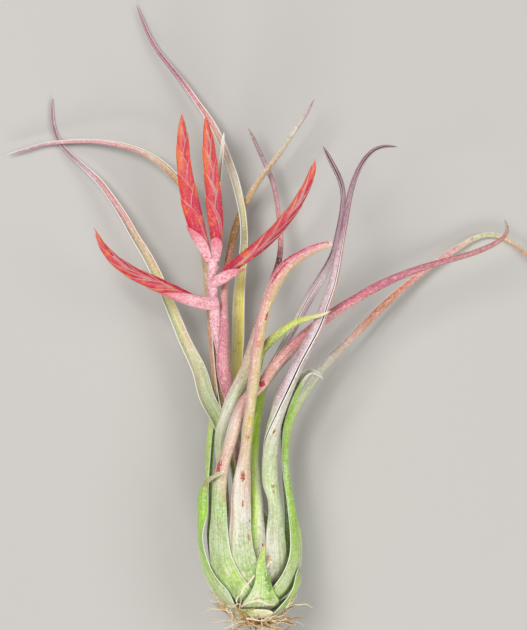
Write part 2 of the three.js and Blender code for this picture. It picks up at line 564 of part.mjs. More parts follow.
function bract(frame, from, hand) {
  const vertices = BRACT_RINGS.flatMap((u) => {
    const f = frame(Math.min(1, from + u * BRACT_SHARE));
    const spread = Math.min(f.w * (BRACT_FOOT + BRACT_SPREADS * u), f.w + KEEL_STANDS_OUT);
    const reach = spread + BRACT_LIFT;
    const depth = f.w * SPIKE_FLATNESS * (BRACT_DEPTH[0] + BRACT_DEPTH[1] * u);
    const thick = Math.max(THINNEST_BRACT, depth * Math.sqrt(TIP_ROUNDING - u * u));
    return BRACT_ARC.map((v) => {
      const bulge = THREE.MathUtils.lerp(BRACT_OPENING, 1, Math.cos((v * Math.PI) / 2));
      return f.p.clone()
        .addScaledVector(f.across, hand * reach * bulge)
        .addScaledVector(f.up, thick * Math.sin((v * Math.PI) / 2));
    });
  });
  const n = BRACT_ARC.length;
  const triangles = [];
  const quad = (a, b, c, d) => {
    const both = [[a, b, c], [a, c, d]];
    triangles.push(...(hand > 0 ? both : both.map((t) => t.reverse())));
  };
  for (let i = 0; i + 1 < BRACT_RINGS.length; i++) {
    for (let j = 0; j < n; j++) {
      const next = (j + 1) % n;
      quad(i * n + next, i * n + j, (i + 1) * n + j, (i + 1) * n + next);
    }
  }
  const last = (BRACT_RINGS.length - 1) * n;
  for (let j = 1; j + 1 < n; j++) {
    const ends = [[0, j, j + 1], [last, last + j + 1, last + j]];
    triangles.push(...(hand > 0 ? ends : ends.map((t) => t.reverse())));
  }
  return closedGeometry(vertices, triangles);
}

const SPIKES = {
  spike_left: [
    [209.8, 261.2, 27, 7], [205, 248, 28, 12], [198.5, 230, 28.6, 17], [192.5, 210, 29, 17.5],
    [188, 190, 29.2, 16], [184.5, 170, 29.2, 13.5], [183, 150, 29, 12], [182.6, 130, 28.8, 8],
    [182.2, 112, 28.5, 1.4],
  ],
  spike_middle: [
    [215.8, 261.6, 27.2, 7], [216.5, 245, 28.8, 11], [216.5, 230, 29.2, 14.5], [215, 210, 29.4, 15],
    [213, 190, 29.4, 14], [211, 170, 29.2, 13], [209, 150, 29, 11.5], [207.5, 130, 28.7, 7],
    [206, 113, 28.4, 1.4],
  ],
  spike_low_left: [
    [206.7, 303.8, 26.4, 9], [198, 301.5, 27.6, 11], [186, 296.5, 29.4, 12.5], [170, 289.5, 31, 13],
    [153, 282.5, 32.2, 12.5], [135, 274, 33, 11], [118, 263, 33.5, 9.5], [105, 249.5, 33.8, 7],
    [94, 228, 34, 1.4],
  ],
  spike_right: [
    [218.9, 277, 27, 7], [230, 268.5, 28.8, 11], [245, 257.5, 30.8, 12], [260, 246, 32.6, 11.5],
    [275, 231.5, 34.2, 10.5], [288, 216.5, 35.6, 9.5], [299, 200.5, 36.6, 8.5], [308, 183, 37.4, 7],
    [313, 170, 37.8, 5.5], [315, 158, 38, 1.2],
  ],
};

function spike(rows) {
  const frame = spikeFrame(rows);
  const core = rod(rows.map(([c, l, h, w]) => [c, l, h, w * CORE_WIDTH]), 8, CORE_FLATNESS);
  const lastBract = 1 - BRACT_SHARE - FIRST_BRACT;
  const pieces = Array.from({ length: BRACTS }, (_, i) => {
    const from = THREE.MathUtils.lerp(FIRST_BRACT, lastBract, i / (BRACTS - 1));
    return bract(frame, from, i % 2 ? 1 : -1);
  });
  return fused([core, ...pieces]);
}

// The stalk runs from the stem's top to the fork under the two middle spikes
const STALK = [
  [252.2, 576.8, 22, 9], [249, 560, 22, 9.5], [246, 530, 22.2, 9.5], [243, 500, 22.4, 9],
  [240, 475, 22.6, 8.5], [236.5, 450, 22.9, 8], [233, 430, 23, 7.6], [229.2, 408, 23.2, 7.2],
  [225.4, 387, 23.4, 7.2], [222, 364, 23.8, 7.2], [218.6, 345, 24.2, 7.6], [215.8, 325, 24.8, 9],
  [213.6, 308, 25.4, 10.5], [212.8, 290, 25.7, 9.5], [212.3, 272, 26, 9.5], [212.8, 263, 26.2, 11],
];

// The stem: a blunt core that narrows going up
function stem() {
  const shoulder = STEM_LENGTH - STEM_BEVEL;
  const outline = [
    [0, 0], [STEM_RADIUS - STEM_BEVEL, 0], [STEM_RADIUS, STEM_BEVEL],
    [stemRadius(shoulder), shoulder], [stemRadius(STEM_LENGTH) - STEM_BEVEL, STEM_LENGTH],
    [0, STEM_LENGTH],
  ].map(([r, h]) => new THREE.Vector2(r, h));
  const geometry = new THREE.LatheGeometry(outline, STEM_SIDES);
  geometry.rotateZ(Math.atan(AXIS_COLUMNS_PER_ROW));
  return geometry;
}

// The roots: a crown under the stem and dry strands that leave it, each a bent rod through
// rows of column, row, height and width in pixels
const ROOT_CROWN = [[256.2, 620.3, 22, 22], [256.6, 622.5, 22, 20], [257, 627, 22, 9]];
const ROOT_STRANDS = [
  [[256, 623, 22, 4], [243, 621.5, 26, 4], [230, 614, 29, 3.5], [218, 603, 31, 1.6]],
  [[256, 623, 21, 4], [240, 622, 18, 4], [227, 613.5, 16, 3.6], [216, 604, 15, 1.6]],
  [[257, 623, 23, 4], [248, 624, 29, 3], [238, 628, 32, 2.4], [229, 630, 33, 1.4]],
  [[258, 623, 22, 4], [268, 623, 25, 4], [280, 622, 27, 3.5], [295, 625, 28, 1.4]],
  [[258, 622.5, 21, 4], [270, 619.5, 15, 4], [283, 614, 12, 4], [294, 604, 10, 2]],
  [[258, 623, 23, 4], [268, 626, 27, 3.5], [276, 628, 29, 3], [284, 630, 30, 1.6]],
  [[256, 623, 20, 4], [253, 624, 12, 4], [247, 625, 6, 3], [238, 627, 3.5, 1.6]],
  [[259, 622.5, 23, 3.5], [272, 620, 29, 3.5], [284, 618, 32, 3], [296, 617, 33, 1.6]],
  [[256, 623, 24, 3.5], [249, 622.5, 31, 3.2], [241, 614, 36, 2.6], [236, 604, 37.4, 1.6]],
];

const roots = () => fused([rod(ROOT_CROWN, 9), ...ROOT_STRANDS.map((rows) => rod(rows, 5, 0.7))]);

const plant = new THREE.Group();

function add(name, geometry, colour, roughness = 0.7) {
  const material = new THREE.MeshStandardMaterial({ color: colour, roughness, metalness: 0 });
  const mesh = new THREE.Mesh(geometry, material);
  mesh.name = name;
  plant.add(mesh);
  return mesh;
}

for (const [name, leaf] of Object.entries(LEAVES)) {
  const stations = [...(leaf.sheath ? sheath(leaf.sheath) : []), ...leaf.blade.map(row)];
  add(name, blade(stations, leaf.points, leaf.lowest), leaf.colour);
}
for (const [name, rows] of Object.entries(SPIKES)) {
  add(name, spike(rows), 0xe8543f);
}
add("flower_stalk", rod(STALK, 10), 0xe39aa2);
add("stem", stem(), 0x9aa35a).position.copy(axisPoint(0));
add("roots", roots(), 0xb58a52, 0.85);

export default plant;
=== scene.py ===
# %% [markdown]
# # A potless air plant in flower
#
# The plant lies on its back on a pale table, and the camera looks straight down on it. The
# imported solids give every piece's place. Here each leaf, scale, bract and root is modelled
# again with a finer surface on the same lines, and gets its finish.

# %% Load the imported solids
import json
import math

import bpy
import numpy as np
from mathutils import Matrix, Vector

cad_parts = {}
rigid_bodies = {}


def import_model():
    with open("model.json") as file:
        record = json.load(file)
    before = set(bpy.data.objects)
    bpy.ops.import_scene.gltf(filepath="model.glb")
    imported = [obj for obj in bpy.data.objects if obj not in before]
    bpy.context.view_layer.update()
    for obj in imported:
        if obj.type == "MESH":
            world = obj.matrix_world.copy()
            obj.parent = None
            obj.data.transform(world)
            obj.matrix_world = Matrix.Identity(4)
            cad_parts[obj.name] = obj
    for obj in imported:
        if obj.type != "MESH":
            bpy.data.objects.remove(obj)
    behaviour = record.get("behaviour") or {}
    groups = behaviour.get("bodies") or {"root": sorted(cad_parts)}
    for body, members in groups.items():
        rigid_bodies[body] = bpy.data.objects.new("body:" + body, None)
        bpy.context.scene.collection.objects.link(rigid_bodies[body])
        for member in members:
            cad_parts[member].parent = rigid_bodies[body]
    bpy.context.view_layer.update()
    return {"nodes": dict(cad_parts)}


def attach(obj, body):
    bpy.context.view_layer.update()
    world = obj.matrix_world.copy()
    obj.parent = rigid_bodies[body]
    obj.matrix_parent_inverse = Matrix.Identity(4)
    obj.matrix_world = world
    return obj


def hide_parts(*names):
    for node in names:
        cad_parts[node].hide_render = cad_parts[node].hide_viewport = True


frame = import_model()
print("solids loaded:", len(frame["nodes"]))

# %% [markdown]
# ## The picture's frame
#
# Places are given the way they are seen from above: a column and a row of a 527 x 630 picture
# with a height over the table in millimetres. A point nearer the eye looks larger, so the eye's
# height is needed too. The solids were laid out with the same numbers, so a place written here
# falls on the solid that it belongs to.

# %% Picture places to millimetres
MM = 0.001
MM_PER_PIXEL = 0.4
PICTURE_ROWS = 630
CENTRE_COLUMN, CENTRE_ROW = 273.2, 315.5
EYE_COLUMN, EYE_ROW, EYE_HEIGHT = 263.5, 315, 1600
BULB_MIDDLE = 22


def seen(column, row, height):
    """The place in millimetres of a point at this column and row, this high over the table."""
    nearer = (EYE_HEIGHT - height) / (EYE_HEIGHT - BULB_MIDDLE)
    x = (EYE_COLUMN - CENTRE_COLUMN) + (column - EYE_COLUMN) * nearer
    y = (CENTRE_ROW - EYE_ROW) + (EYE_ROW - row) * nearer
    return np.array([x * MM_PER_PIXEL, y * MM_PER_PIXEL, height])


# %% The camera, straight above the plant
SENSOR = 36
SEES_AT_BULB = PICTURE_ROWS * MM_PER_PIXEL
FARTHEST_SEEN = 10

bpy.ops.object.select_all(action="DESELECT")
bpy.ops.object.camera_add(location=seen(EYE_COLUMN, EYE_ROW, EYE_HEIGHT) * MM)
camera = bpy.context.object
camera.name = "camera"
camera.data.sensor_width = SENSOR
camera.data.lens = SENSOR * (EYE_HEIGHT - BULB_MIDDLE) / SEES_AT_BULB
camera.data.clip_end = FARTHEST_SEEN
bpy.context.scene.camera = camera
bpy.context.scene.view_settings.view_transform = "Standard"
print("camera lens:", round(camera.data.lens, 1), "mm")

# %% [markdown]
# ## Table and light
#
# A pale, plain table keeps the eye on the plant. One large softbox above and to the left makes
# the rolled leaves read as round, a weaker one fills from the right, and a narrow one behind the
# bulb picks out the silvery edges. Area lights are used, because their soft shadows are those of
# a studio.

# %% Table
TABLE_SIZE, TABLE_DROP = 6, 0.0003
TABLE_TONE, TABLE_ROUGHNESS = "#bdbab5", 0.9


def linear(code):
    """A colour written as on a colour chart, as the linear values that a shader takes."""
    parts = [int(code[i:i + 2], 16) / 255 for i in (1, 3, 5)]
    return [c / 12.92 if c <= 0.04045 else ((c + 0.055) / 1.055) ** 2.4 for c in parts] + [1.0]


bpy.ops.mesh.primitive_plane_add(size=TABLE_SIZE, location=(0, 0, -TABLE_DROP))
table = bpy.context.object
table.name = "table"
table_finish = bpy.data.materials.new("pale_table")
table_finish.use_nodes = True
table_shader = table_finish.node_tree.nodes["Principled BSDF"]
table_shader.inputs["Base Color"].default_value = linear(TABLE_TONE)
table_shader.inputs["Roughness"].default_value = TABLE_ROUGHNESS
table.data.materials.append(table_finish)
print("table:", TABLE_SIZE, "m square")

# %% Lights
STUDIO_TONE, STUDIO_STRENGTH = "#e8e8ea", 0.32


def softbox(name, place, size, power):
    """A square area light at a place in metres, turned to the middle of the plant."""
    bpy.ops.object.light_add(type="AREA", location=place)
    light = bpy.context.object
    light.name = name
    light.data.size = size
    light.data.energy = power
    light.rotation_mode = "QUATERNION"
    light.rotation_quaternion = (-Vector(place)).to_track_quat("-Z", "Y")


softbox("key_softbox", place=(-0.36, 0.3, 0.95), size=0.45, power=7.7)
softbox("fill_softbox", place=(0.6, 0.1, 0.75), size=0.5, power=2.7)
softbox("rim_softbox", place=(0.1, -0.85, 0.45), size=0.35, power=4)
world = bpy.data.worlds.new("studio")
world.use_nodes = True
background = world.node_tree.nodes["Background"].inputs
background["Color"].default_value = linear(STUDIO_TONE)
background["Strength"].default_value = STUDIO_STRENGTH
bpy.context.scene.world = world

# %% [markdown]
# ## Lines to model on
#
# Every long piece follows a line with a place, a half-width and a facing at each station. A
# curve object joins its points with a smooth cubic, and so does this line, but here the width,
# the curl and the facing run along it too.

# %% Slopes and directions
def slopes(values, at):
    """How fast the values change at each station."""
    steps = np.diff(at)[:, None]
    rates = np.diff(values, axis=0) / steps
    inner = (rates[:-1] * steps[1:] + rates[1:] * steps[:-1]) / (steps[1:] + steps[:-1])
    return np.vstack([rates[:1], inner, rates[-1:]])


def unit(vectors):
    """The vectors, each brought to length 1."""
    return vectors / np.linalg.norm(vectors, axis=1, keepdims=True)


def square_to(line, direction):
    """The part of each direction that is square to the line."""
    return unit(direction - line * np.sum(line * direction, axis=1, keepdims=True))


# %% A smooth line through stations
HAIRBREADTH = 0.3
ROW_SAMPLES = 400


class Line:
    """Stations joined by cubics. Each station is x, y, z, half-width, curl in degrees, wall,
    and then its facing: three numbers, or one angle that it is rolled from straight up."""

    def __init__(self, stations):
        places = np.array([s[:3] for s in stations], float)
        gaps = np.linalg.norm(np.diff(places, axis=0), axis=1)
        self.at = np.concatenate([[0], np.cumsum(gaps)])
        self.length = self.at[-1]
        line = unit(slopes(places, self.at))
        up = square_to(line, np.tile([0.0, 0.0, 1.0], (len(line), 1)))
        right = np.cross(line, up)
        rows = []
        for i, station in enumerate(stations):
            out = station[6:]
            if len(out) == 1:
                turn = math.radians(out[0])
                out = up[i] * math.cos(turn) + right[i] * math.sin(turn)
            rows.append([*station[:6], *(out - line[i] * np.dot(line[i], out))])
        self.values = np.array(rows, float)
        self.values[:, 6:9] = unit(self.values[:, 6:9])
        self.slope = slopes(self.values, self.at)

    def read(self, share):
        """All values at shares 0 to 1 of the length."""
        s = np.clip(share, 0, 1) * self.length
        i = np.clip(np.searchsorted(self.at, s, side="right") - 1, 0, len(self.at) - 2)
        step = self.at[i + 1] - self.at[i]
        u = ((s - self.at[i]) / step)[:, None]
        step = step[:, None]
        return ((2 * u**3 - 3 * u**2 + 1) * self.values[i]
                + (u**3 - 2 * u**2 + u) * step * self.slope[i]
                + (3 * u**2 - 2 * u**3) * self.values[i + 1]
                + (u**3 - u**2) * step * self.slope[i + 1])

    def frames(self, share):
        """Places, half-widths, curls and walls at the shares, with the directions along the
        line, outwards and across."""
        v = self.read(share)
        small = HAIRBREADTH / self.length
        line = unit(self.read(share + small)[:, :3] - self.read(share - small)[:, :3])
        out = square_to(line, v[:, 6:9])
        return v[:, :3], v[:, 3], v[:, 4], v[:, 5], line, out, np.cross(line, out)

    def share_at_row(self, row):
        """The share of the length at which the line passes a row of the picture."""
        share = np.linspace(0, 1, ROW_SAMPLES)
        highest_yet = np.maximum.accumulate(self.read(share)[:, 1])
        wanted = (CENTRE_ROW - row) * MM_PER_PIXEL
        return float(share[np.searchsorted(highest_yet, wanted).clip(0, ROW_SAMPLES - 1)])


# %% [markdown]
# ## The bulb
#
# The bulb is no solid: it is the swollen bases of the leaves, wrapped round a short stem. Each
# base leaves the stem a little higher than the one below it, swells to its own radius and then
# narrows into the blade. One function works out the stations of such a base, so that the bases
# stay in layers whatever their number.

# %% Sheath stations
BULB_REACH = 35
BULB_BASE_ROW, BULB_BASE_COLUMN = 618, 256
AXIS_COLUMNS_PER_ROW = 8 / 138
BULB_ROUNDNESS = 2.6
STEM_RADIUS, STEM_TAPER = 5, 0.12
SHEATH_FIRST, SHEATH_LIFT, SEAT = 0.6, 1.75, 0.45
WIDEST_SHARE, CLASP = 0.45, 0.8
SHEATH_WALL, BLADE_WALL = 0.8, 0.72
SHEATH_ANGLES = [2, 14, 28, 44, 60, 76, 90]


def axis_point(h):
    """A point of the bulb's axis, h millimetres up from its base."""
    row = BULB_BASE_ROW - h / MM_PER_PIXEL
    column = BULB_BASE_COLUMN + (row - BULB_BASE_ROW) * AXIS_COLUMNS_PER_ROW
    return seen(column, row, BULB_MIDDLE)


def facing(angle):
    """A direction square to the bulb's axis: 0 is up, 90 to the right, 180 to the table."""
    return np.array([math.sin(math.radians(angle)), 0, math.cos(math.radians(angle))])


def sheath(layer, azimuth, radius, widest, neck, until=90):
    """The stations of a leaf's swollen base, from the stem to where the blade starts."""
    first = SHEATH_FIRST + SHEATH_LIFT * layer
    root = STEM_RADIUS - STEM_TAPER * first + SEAT
    stations = []
    for angle in [a for a in SHEATH_ANGLES if a <= until]:
        share = angle / until
        a = math.radians(angle)
        h = first + (BULB_REACH - first) * (1 - math.cos(a) ** (2 / BULB_ROUNDNESS))
        r = root + (radius - root) * math.sin(a)
        climb = ((BULB_REACH - first) * (2 / BULB_ROUNDNESS) * math.sin(a)
                 * math.cos(a) ** (2 / BULB_ROUNDNESS - 1))
        spread = (radius - root) * math.cos(a)
        rising = climb / math.hypot(climb, spread)
        eased = max(0, (share - WIDEST_SHARE) / (1 - WIDEST_SHARE))
        w = widest + (neck - widest) * eased * eased * (3 - 2 * eased)
        w = min(w, CLASP * r)
        curl = math.asin(min(CLASP, w * rising / r))
        towards = facing(azimuth[0] + (azimuth[1] - azimuth[0]) * share)
        outwards = towards * rising
        outwards[1] = -math.sqrt(max(0, 1 - rising * rising))
        depth = (w / math.sin(curl)) * (1 - math.cos(curl)) + SHEATH_WALL * math.cos(curl)
        p = axis_point(h) + towards * r - outwards * depth / 2
        stations.append([*p, w, math.degrees(curl), SHEATH_WALL, *towards])
    return stations


def blade_stations(rows):
    """The stations of a blade, from rows of column, row, height, width in pixels, curl and
    roll. A row without curl and roll keeps those of the row before it."""
    stations = []
    for column, row, height, width, *given in rows:
        curl, roll = given or (curl, roll)
        stations.append([*seen(column, row, height), width * MM_PER_PIXEL / 2, curl, BLADE_WALL,
                         roll])
    return stations


print("foot of the bulb:", axis_point(0).round(1), "and its top:", axis_point(BULB_REACH).round(1))

# %% [markdown]
# ## The leaves in front
#
# Each row of a blade is a station: its column, row and height, the width of the roll in pixels,
# how far the blade curls in, and how far it is rolled from facing up. No formula gives the bends
# of a real leaf, so its stations are given one by one, closer together where it bends more. Where
# the last two numbers are left out, they stay as they are in the row before. Four of these five
# leaves start at the front of the bulb, and one, short and dry at its tip, at its left side.

# %% Leaves in front: column, row, height, width in pixels, curl and roll
FRONT_LEAVES = {
    "cut_front_leaf": {
        "node": "leaf_cut_front", "slot": "leaf_silver", "tip": "cut",
        "sheath": dict(layer=3.8, azimuth=(-14, -13), radius=19.3, widest=9.4, neck=4.6),
        "rows": [
            (240.8, 512, 39.6, 21.5, 45, -10), (240.4, 497, 39.2, 20.5, 58, -9),
            (241.5, 480, 38.4, 18, 72, -8), (243.5, 464, 38, 13.5, 90, -6),
            (245.5, 448, 37.8, 11, 105, -4), (247.5, 428, 38, 11, 112, 0),
            (251, 403, 38.5, 10.5, 112, 6), (254.5, 378, 39, 12, 112, 12),
            (257, 356, 39.5, 11.5, 112, 16), (260.5, 334, 40, 11, 112, 20),
            (265, 312, 40.7, 11.5, 112, 24), (271, 295, 41.5, 12.5, 112, 28),
            (279, 279, 42.3, 13.5, 112, 32), (290, 264.5, 43.2, 13, 112, 36),
            (305, 254.5, 44.2, 11, 112, 40), (320, 247.5, 45, 9, 112, 42),
            (333, 244, 45.6, 6.5, 110, 42)],
    },
    "pink_right_leaf": {
        "node": "leaf_pink_right", "slot": "leaf_pink",
        "sheath": dict(layer=2.7, azimuth=(-42, -40), radius=20.5, widest=9.6, neck=5),
        "rows": [
            (217.5, 512, 35.9, 21, 58, -40), (217.5, 495, 35.4, 17, 75, -36),
            (219, 478, 34.8, 15, 90, -30), (223, 462, 35.2, 12.5, 105, -26),
            (227.5, 448, 35.3, 12, 115, -22), (233, 430, 35.2, 13, 118, -18),
            (239, 412, 34.8, 12, 118, -14), (244.5, 401, 34.4, 12, 118, -10),
            (253, 392.5, 34.1, 12, 118, -5), (263, 383, 33.9, 12, 118, 0),
            (275, 366.5, 33.7, 12.5), (290, 350.5, 33.4, 12), (305, 335.5, 33.1, 11.5),
            (318, 324.5, 33, 10.5), (335, 312, 32.8, 10), (355, 299.5, 32.5, 9.5),
            (380, 285, 32.2, 9), (400, 276, 32, 8), (420, 268.5, 31.6, 7), (440, 262.5, 31.2, 6),
            (460, 257, 30.7, 6), (480, 250.5, 30.2, 5.5), (495, 243.5, 29.8, 5),
            (504.5, 236.5, 29.5, 4), (508, 228.5, 29.4, 3.5), (504, 219, 29.4, 2)],
    },
    "dry_left_leaf": {
        "node": "leaf_dry_left", "slot": "leaf_green",
        "sheath": dict(layer=1.1, azimuth=(-80, -76), radius=21.55, widest=12, neck=5),
        "rows": [
            (201.5, 512, 27.5, 20, 60, -65), (201.3, 500, 28.5, 17, 70, -62),
            (203.2, 490, 30, 13, 80, -58), (206, 483, 32, 10, 85, -60),
            (209.5, 478.5, 35.6, 8, 85, -75), (215.5, 476, 38.2, 6, 80, -90),
            (222, 473.5, 38.6, 4, 75, -100), (226.5, 472, 38.8, 2, 70, -100)],
    },
    "tall_right_leaf": {
        "node": "leaf_tall_right", "slot": "leaf_silver",
        "sheath": dict(layer=5.3, azimuth=(38, 34), radius=18.2, widest=8.2, neck=4.4),
        "rows": [
            (277, 512, 36, 18, 55, 36), (275.5, 498, 36, 16.5, 75, 40),
            (272, 482, 35.9, 18, 105, 44), (271, 465, 36, 16.5, 130, 67),
            (271.5, 448, 36.2, 15.5, 146, 98), (273.5, 430, 36.6, 14.5, 152, 145),
            (277.5, 414, 37, 14.5, 152, 172), (281.5, 400, 37.4, 15.5, 152, 188),
            (290.5, 380, 38.2, 13.5, 150, 194), (300, 360, 38.9, 12.5, 150, 195),
            (310, 341, 39.6, 12.5, 150, 198), (318, 325, 40.2, 12, 150, 200),
            (325, 305, 41, 10.5, 150, 204), (332, 285, 41.8, 9, 150, 206), (337, 262, 42.6, 8),
            (341, 240, 43.3, 7), (345, 219, 44, 6.5), (349, 197, 44.5, 6),
            (357, 172, 44.9, 5, 145, 206), (366, 157, 45.1, 4.5, 140, 206),
            (374, 149.5, 45.2, 4, 135, 206), (385, 146, 45.2, 3.5, 130, 206),
            (398, 147, 45, 2.4, 125, 206)],
    },
    "channel_right_leaf": {
        "node": "leaf_channel_right", "slot": "leaf_silver",
        "sheath": dict(layer=6.3, azimuth=(8, 10), radius=15.6, widest=7.5, neck=3.2),
        "rows": [
            (257.5, 512, 34.5, 14, 60, 12), (257, 497, 32.8, 14, 75, 14),
            (255.5, 480, 31, 12.5, 90, 18), (254.5, 462, 29.5, 10, 105, 24),
            (255.5, 442, 28.2, 9, 115, 34), (257.5, 422, 27.2, 9, 125, 50),
            (260.5, 402, 26.5, 9, 135, 75), (265, 384, 26.2, 8.5, 145, 110),
            (272, 368, 26.2, 8.5, 150, 140), (281, 352, 26.4, 8.5, 150, 155),
            (290, 335, 26.8, 8.5, 152, 165), (299, 317, 27.4, 9, 152, 170),
            (309, 298, 28.2, 10, 152, 172), (322, 277, 29.6, 9), (333, 255, 31.2, 7),
            (338, 233, 32.8, 5.5, 150, 172), (342, 211, 34.2, 5), (343.5, 197, 35, 5.5),
            (341, 182, 35.6, 5.5, 145, 172), (332, 163, 36.2, 5, 140, 172),
            (323, 146, 36.6, 3.2, 130, 172)],
    },
}
print("leaves in front:", len(FRONT_LEAVES))

# %% [markdown]
# ## The leaves from the middle
#
# Three leaves come out between the others. Their sheaths lie inside those in front, so their
# radii are smaller.

# %% Leaves from the middle, in the same way
MIDDLE_LEAVES = {
    "short_green_leaf": {
        "node": "leaf_short_green", "slot": "leaf_green",
        "sheath": dict(layer=7.1, azimuth=(-12, -8), radius=12, widest=5.5, neck=2.4),
        "rows": [
            (246, 512, 31.5, 9, 70, -5), (244.5, 490, 30, 8.5, 85, -4),
            (244, 468, 29.4, 8, 100, -2), (244.4, 446, 29.6, 7.6, 110, 0),
            (246.4, 424, 30, 7.6, 115, 2), (249.8, 404, 30, 7.8, 118, 4),
            (253.6, 385, 30.2, 8.2, 118, 6), (257.6, 368, 31.2, 8.8, 118, 8),
            (262, 352, 33, 9, 118, 12), (269, 343, 35, 9, 118, 20), (278, 335, 37.2, 8.5),
            (288, 327.5, 39.6, 7.5), (298, 321.5, 42, 6), (310, 318, 44, 5, 115, 20),
            (322, 315, 45, 3.4, 110, 20), (331, 311, 45.4, 1.8, 100, 20)],
    },
    "curved_centre_leaf": {
        "node": "leaf_curved_centre", "slot": "leaf_silver",
        "sheath": dict(layer=5.5, azimuth=(-82, -68), radius=15.5, widest=7.8, neck=3.4),
        "rows": [
            (225.5, 512, 26.5, 13, 65, -60), (224, 495, 27, 12.5, 80, -60),
            (222, 478, 27.4, 12, 92, -60), (219.5, 462, 27.8, 11, 102, -58),
            (218, 446, 28.2, 10.5, 110, -56), (220, 430, 29, 12.5, 115, -50),
            (225.5, 414, 30, 14, 118, -44), (231, 400, 30.6, 14.5, 118, -40), (238, 385, 30.4, 14),
            (244, 370, 29.4, 12.5, 118, -42), (249.5, 352, 27.6, 11, 118, -46),
            (255.5, 332, 25.4, 10, 118, -50), (262, 311, 22.8, 9, 118, -54),
            (267.5, 295, 20.6, 8.5, 118, -58), (272, 280, 18.6, 8, 118, -60), (278, 262, 16.2, 7),
            (280, 245, 14.2, 6.5), (279, 225, 12.4, 6), (276, 200, 11, 5.5), (272, 182, 10.4, 5.5),
            (264, 163, 10, 5), (256, 145, 10, 4.5), (248, 127, 10.6, 2.6, 110, -60)],
    },
    "long_left_leaf": {
        "node": "leaf_long_left", "slot": "leaf_silver",
        "sheath": dict(layer=6.8, azimuth=(-150, -146), radius=9.5, widest=5, neck=2.8),
        "rows": [
            (239.5, 512, 14.6, 14, 70, -146), (238.5, 494, 14.2, 14, 80, -148),
            (236.8, 476, 14.2, 14, 84, -150), (233.5, 460, 14.6, 14.5, 84, -152),
            (228, 444, 15.2, 15, 82, -154), (221.5, 429, 15.8, 15.5, 80, -156),
            (214.5, 414, 16.2, 16, 78, -158), (207, 400, 16.4, 17, 76, -158), (198, 370, 16.2, 16),
            (185, 342.6, 15.6, 13.5, 78, -158), (172.6, 313, 14.8, 12, 80, -158),
            (160, 283.7, 13.6, 11, 84, -158), (147.4, 258.4, 12.2, 10.5, 88, -158),
            (134.7, 237.4, 10.8, 9.5, 92, -158), (124, 218.4, 9.4, 9, 98, -158),
            (111.6, 199.5, 7.8, 8, 106, -158), (99, 182.6, 6, 7.5, 114, -158),
            (84, 168, 3.9, 6, 118, -158), (69.5, 155, 1.8, 5.5), (58.5, 141.5, 0.66, 4.6),
            (53, 126, 0.55, 4.2), (51.6, 112, 0.6, 3.6, 115, -158),
            (52.6, 97.4, 0.6, 2, 110, -158)],
    },
}
print("leaves from the middle:", len(MIDDLE_LEAVES))

# %% [markdown]
# ## The leaves behind and at the right
#
# Four leaves start on the side that lies on the table, and one at the right. The last leaf has
# no sheath, because it grows from the flower stalk and wraps it.

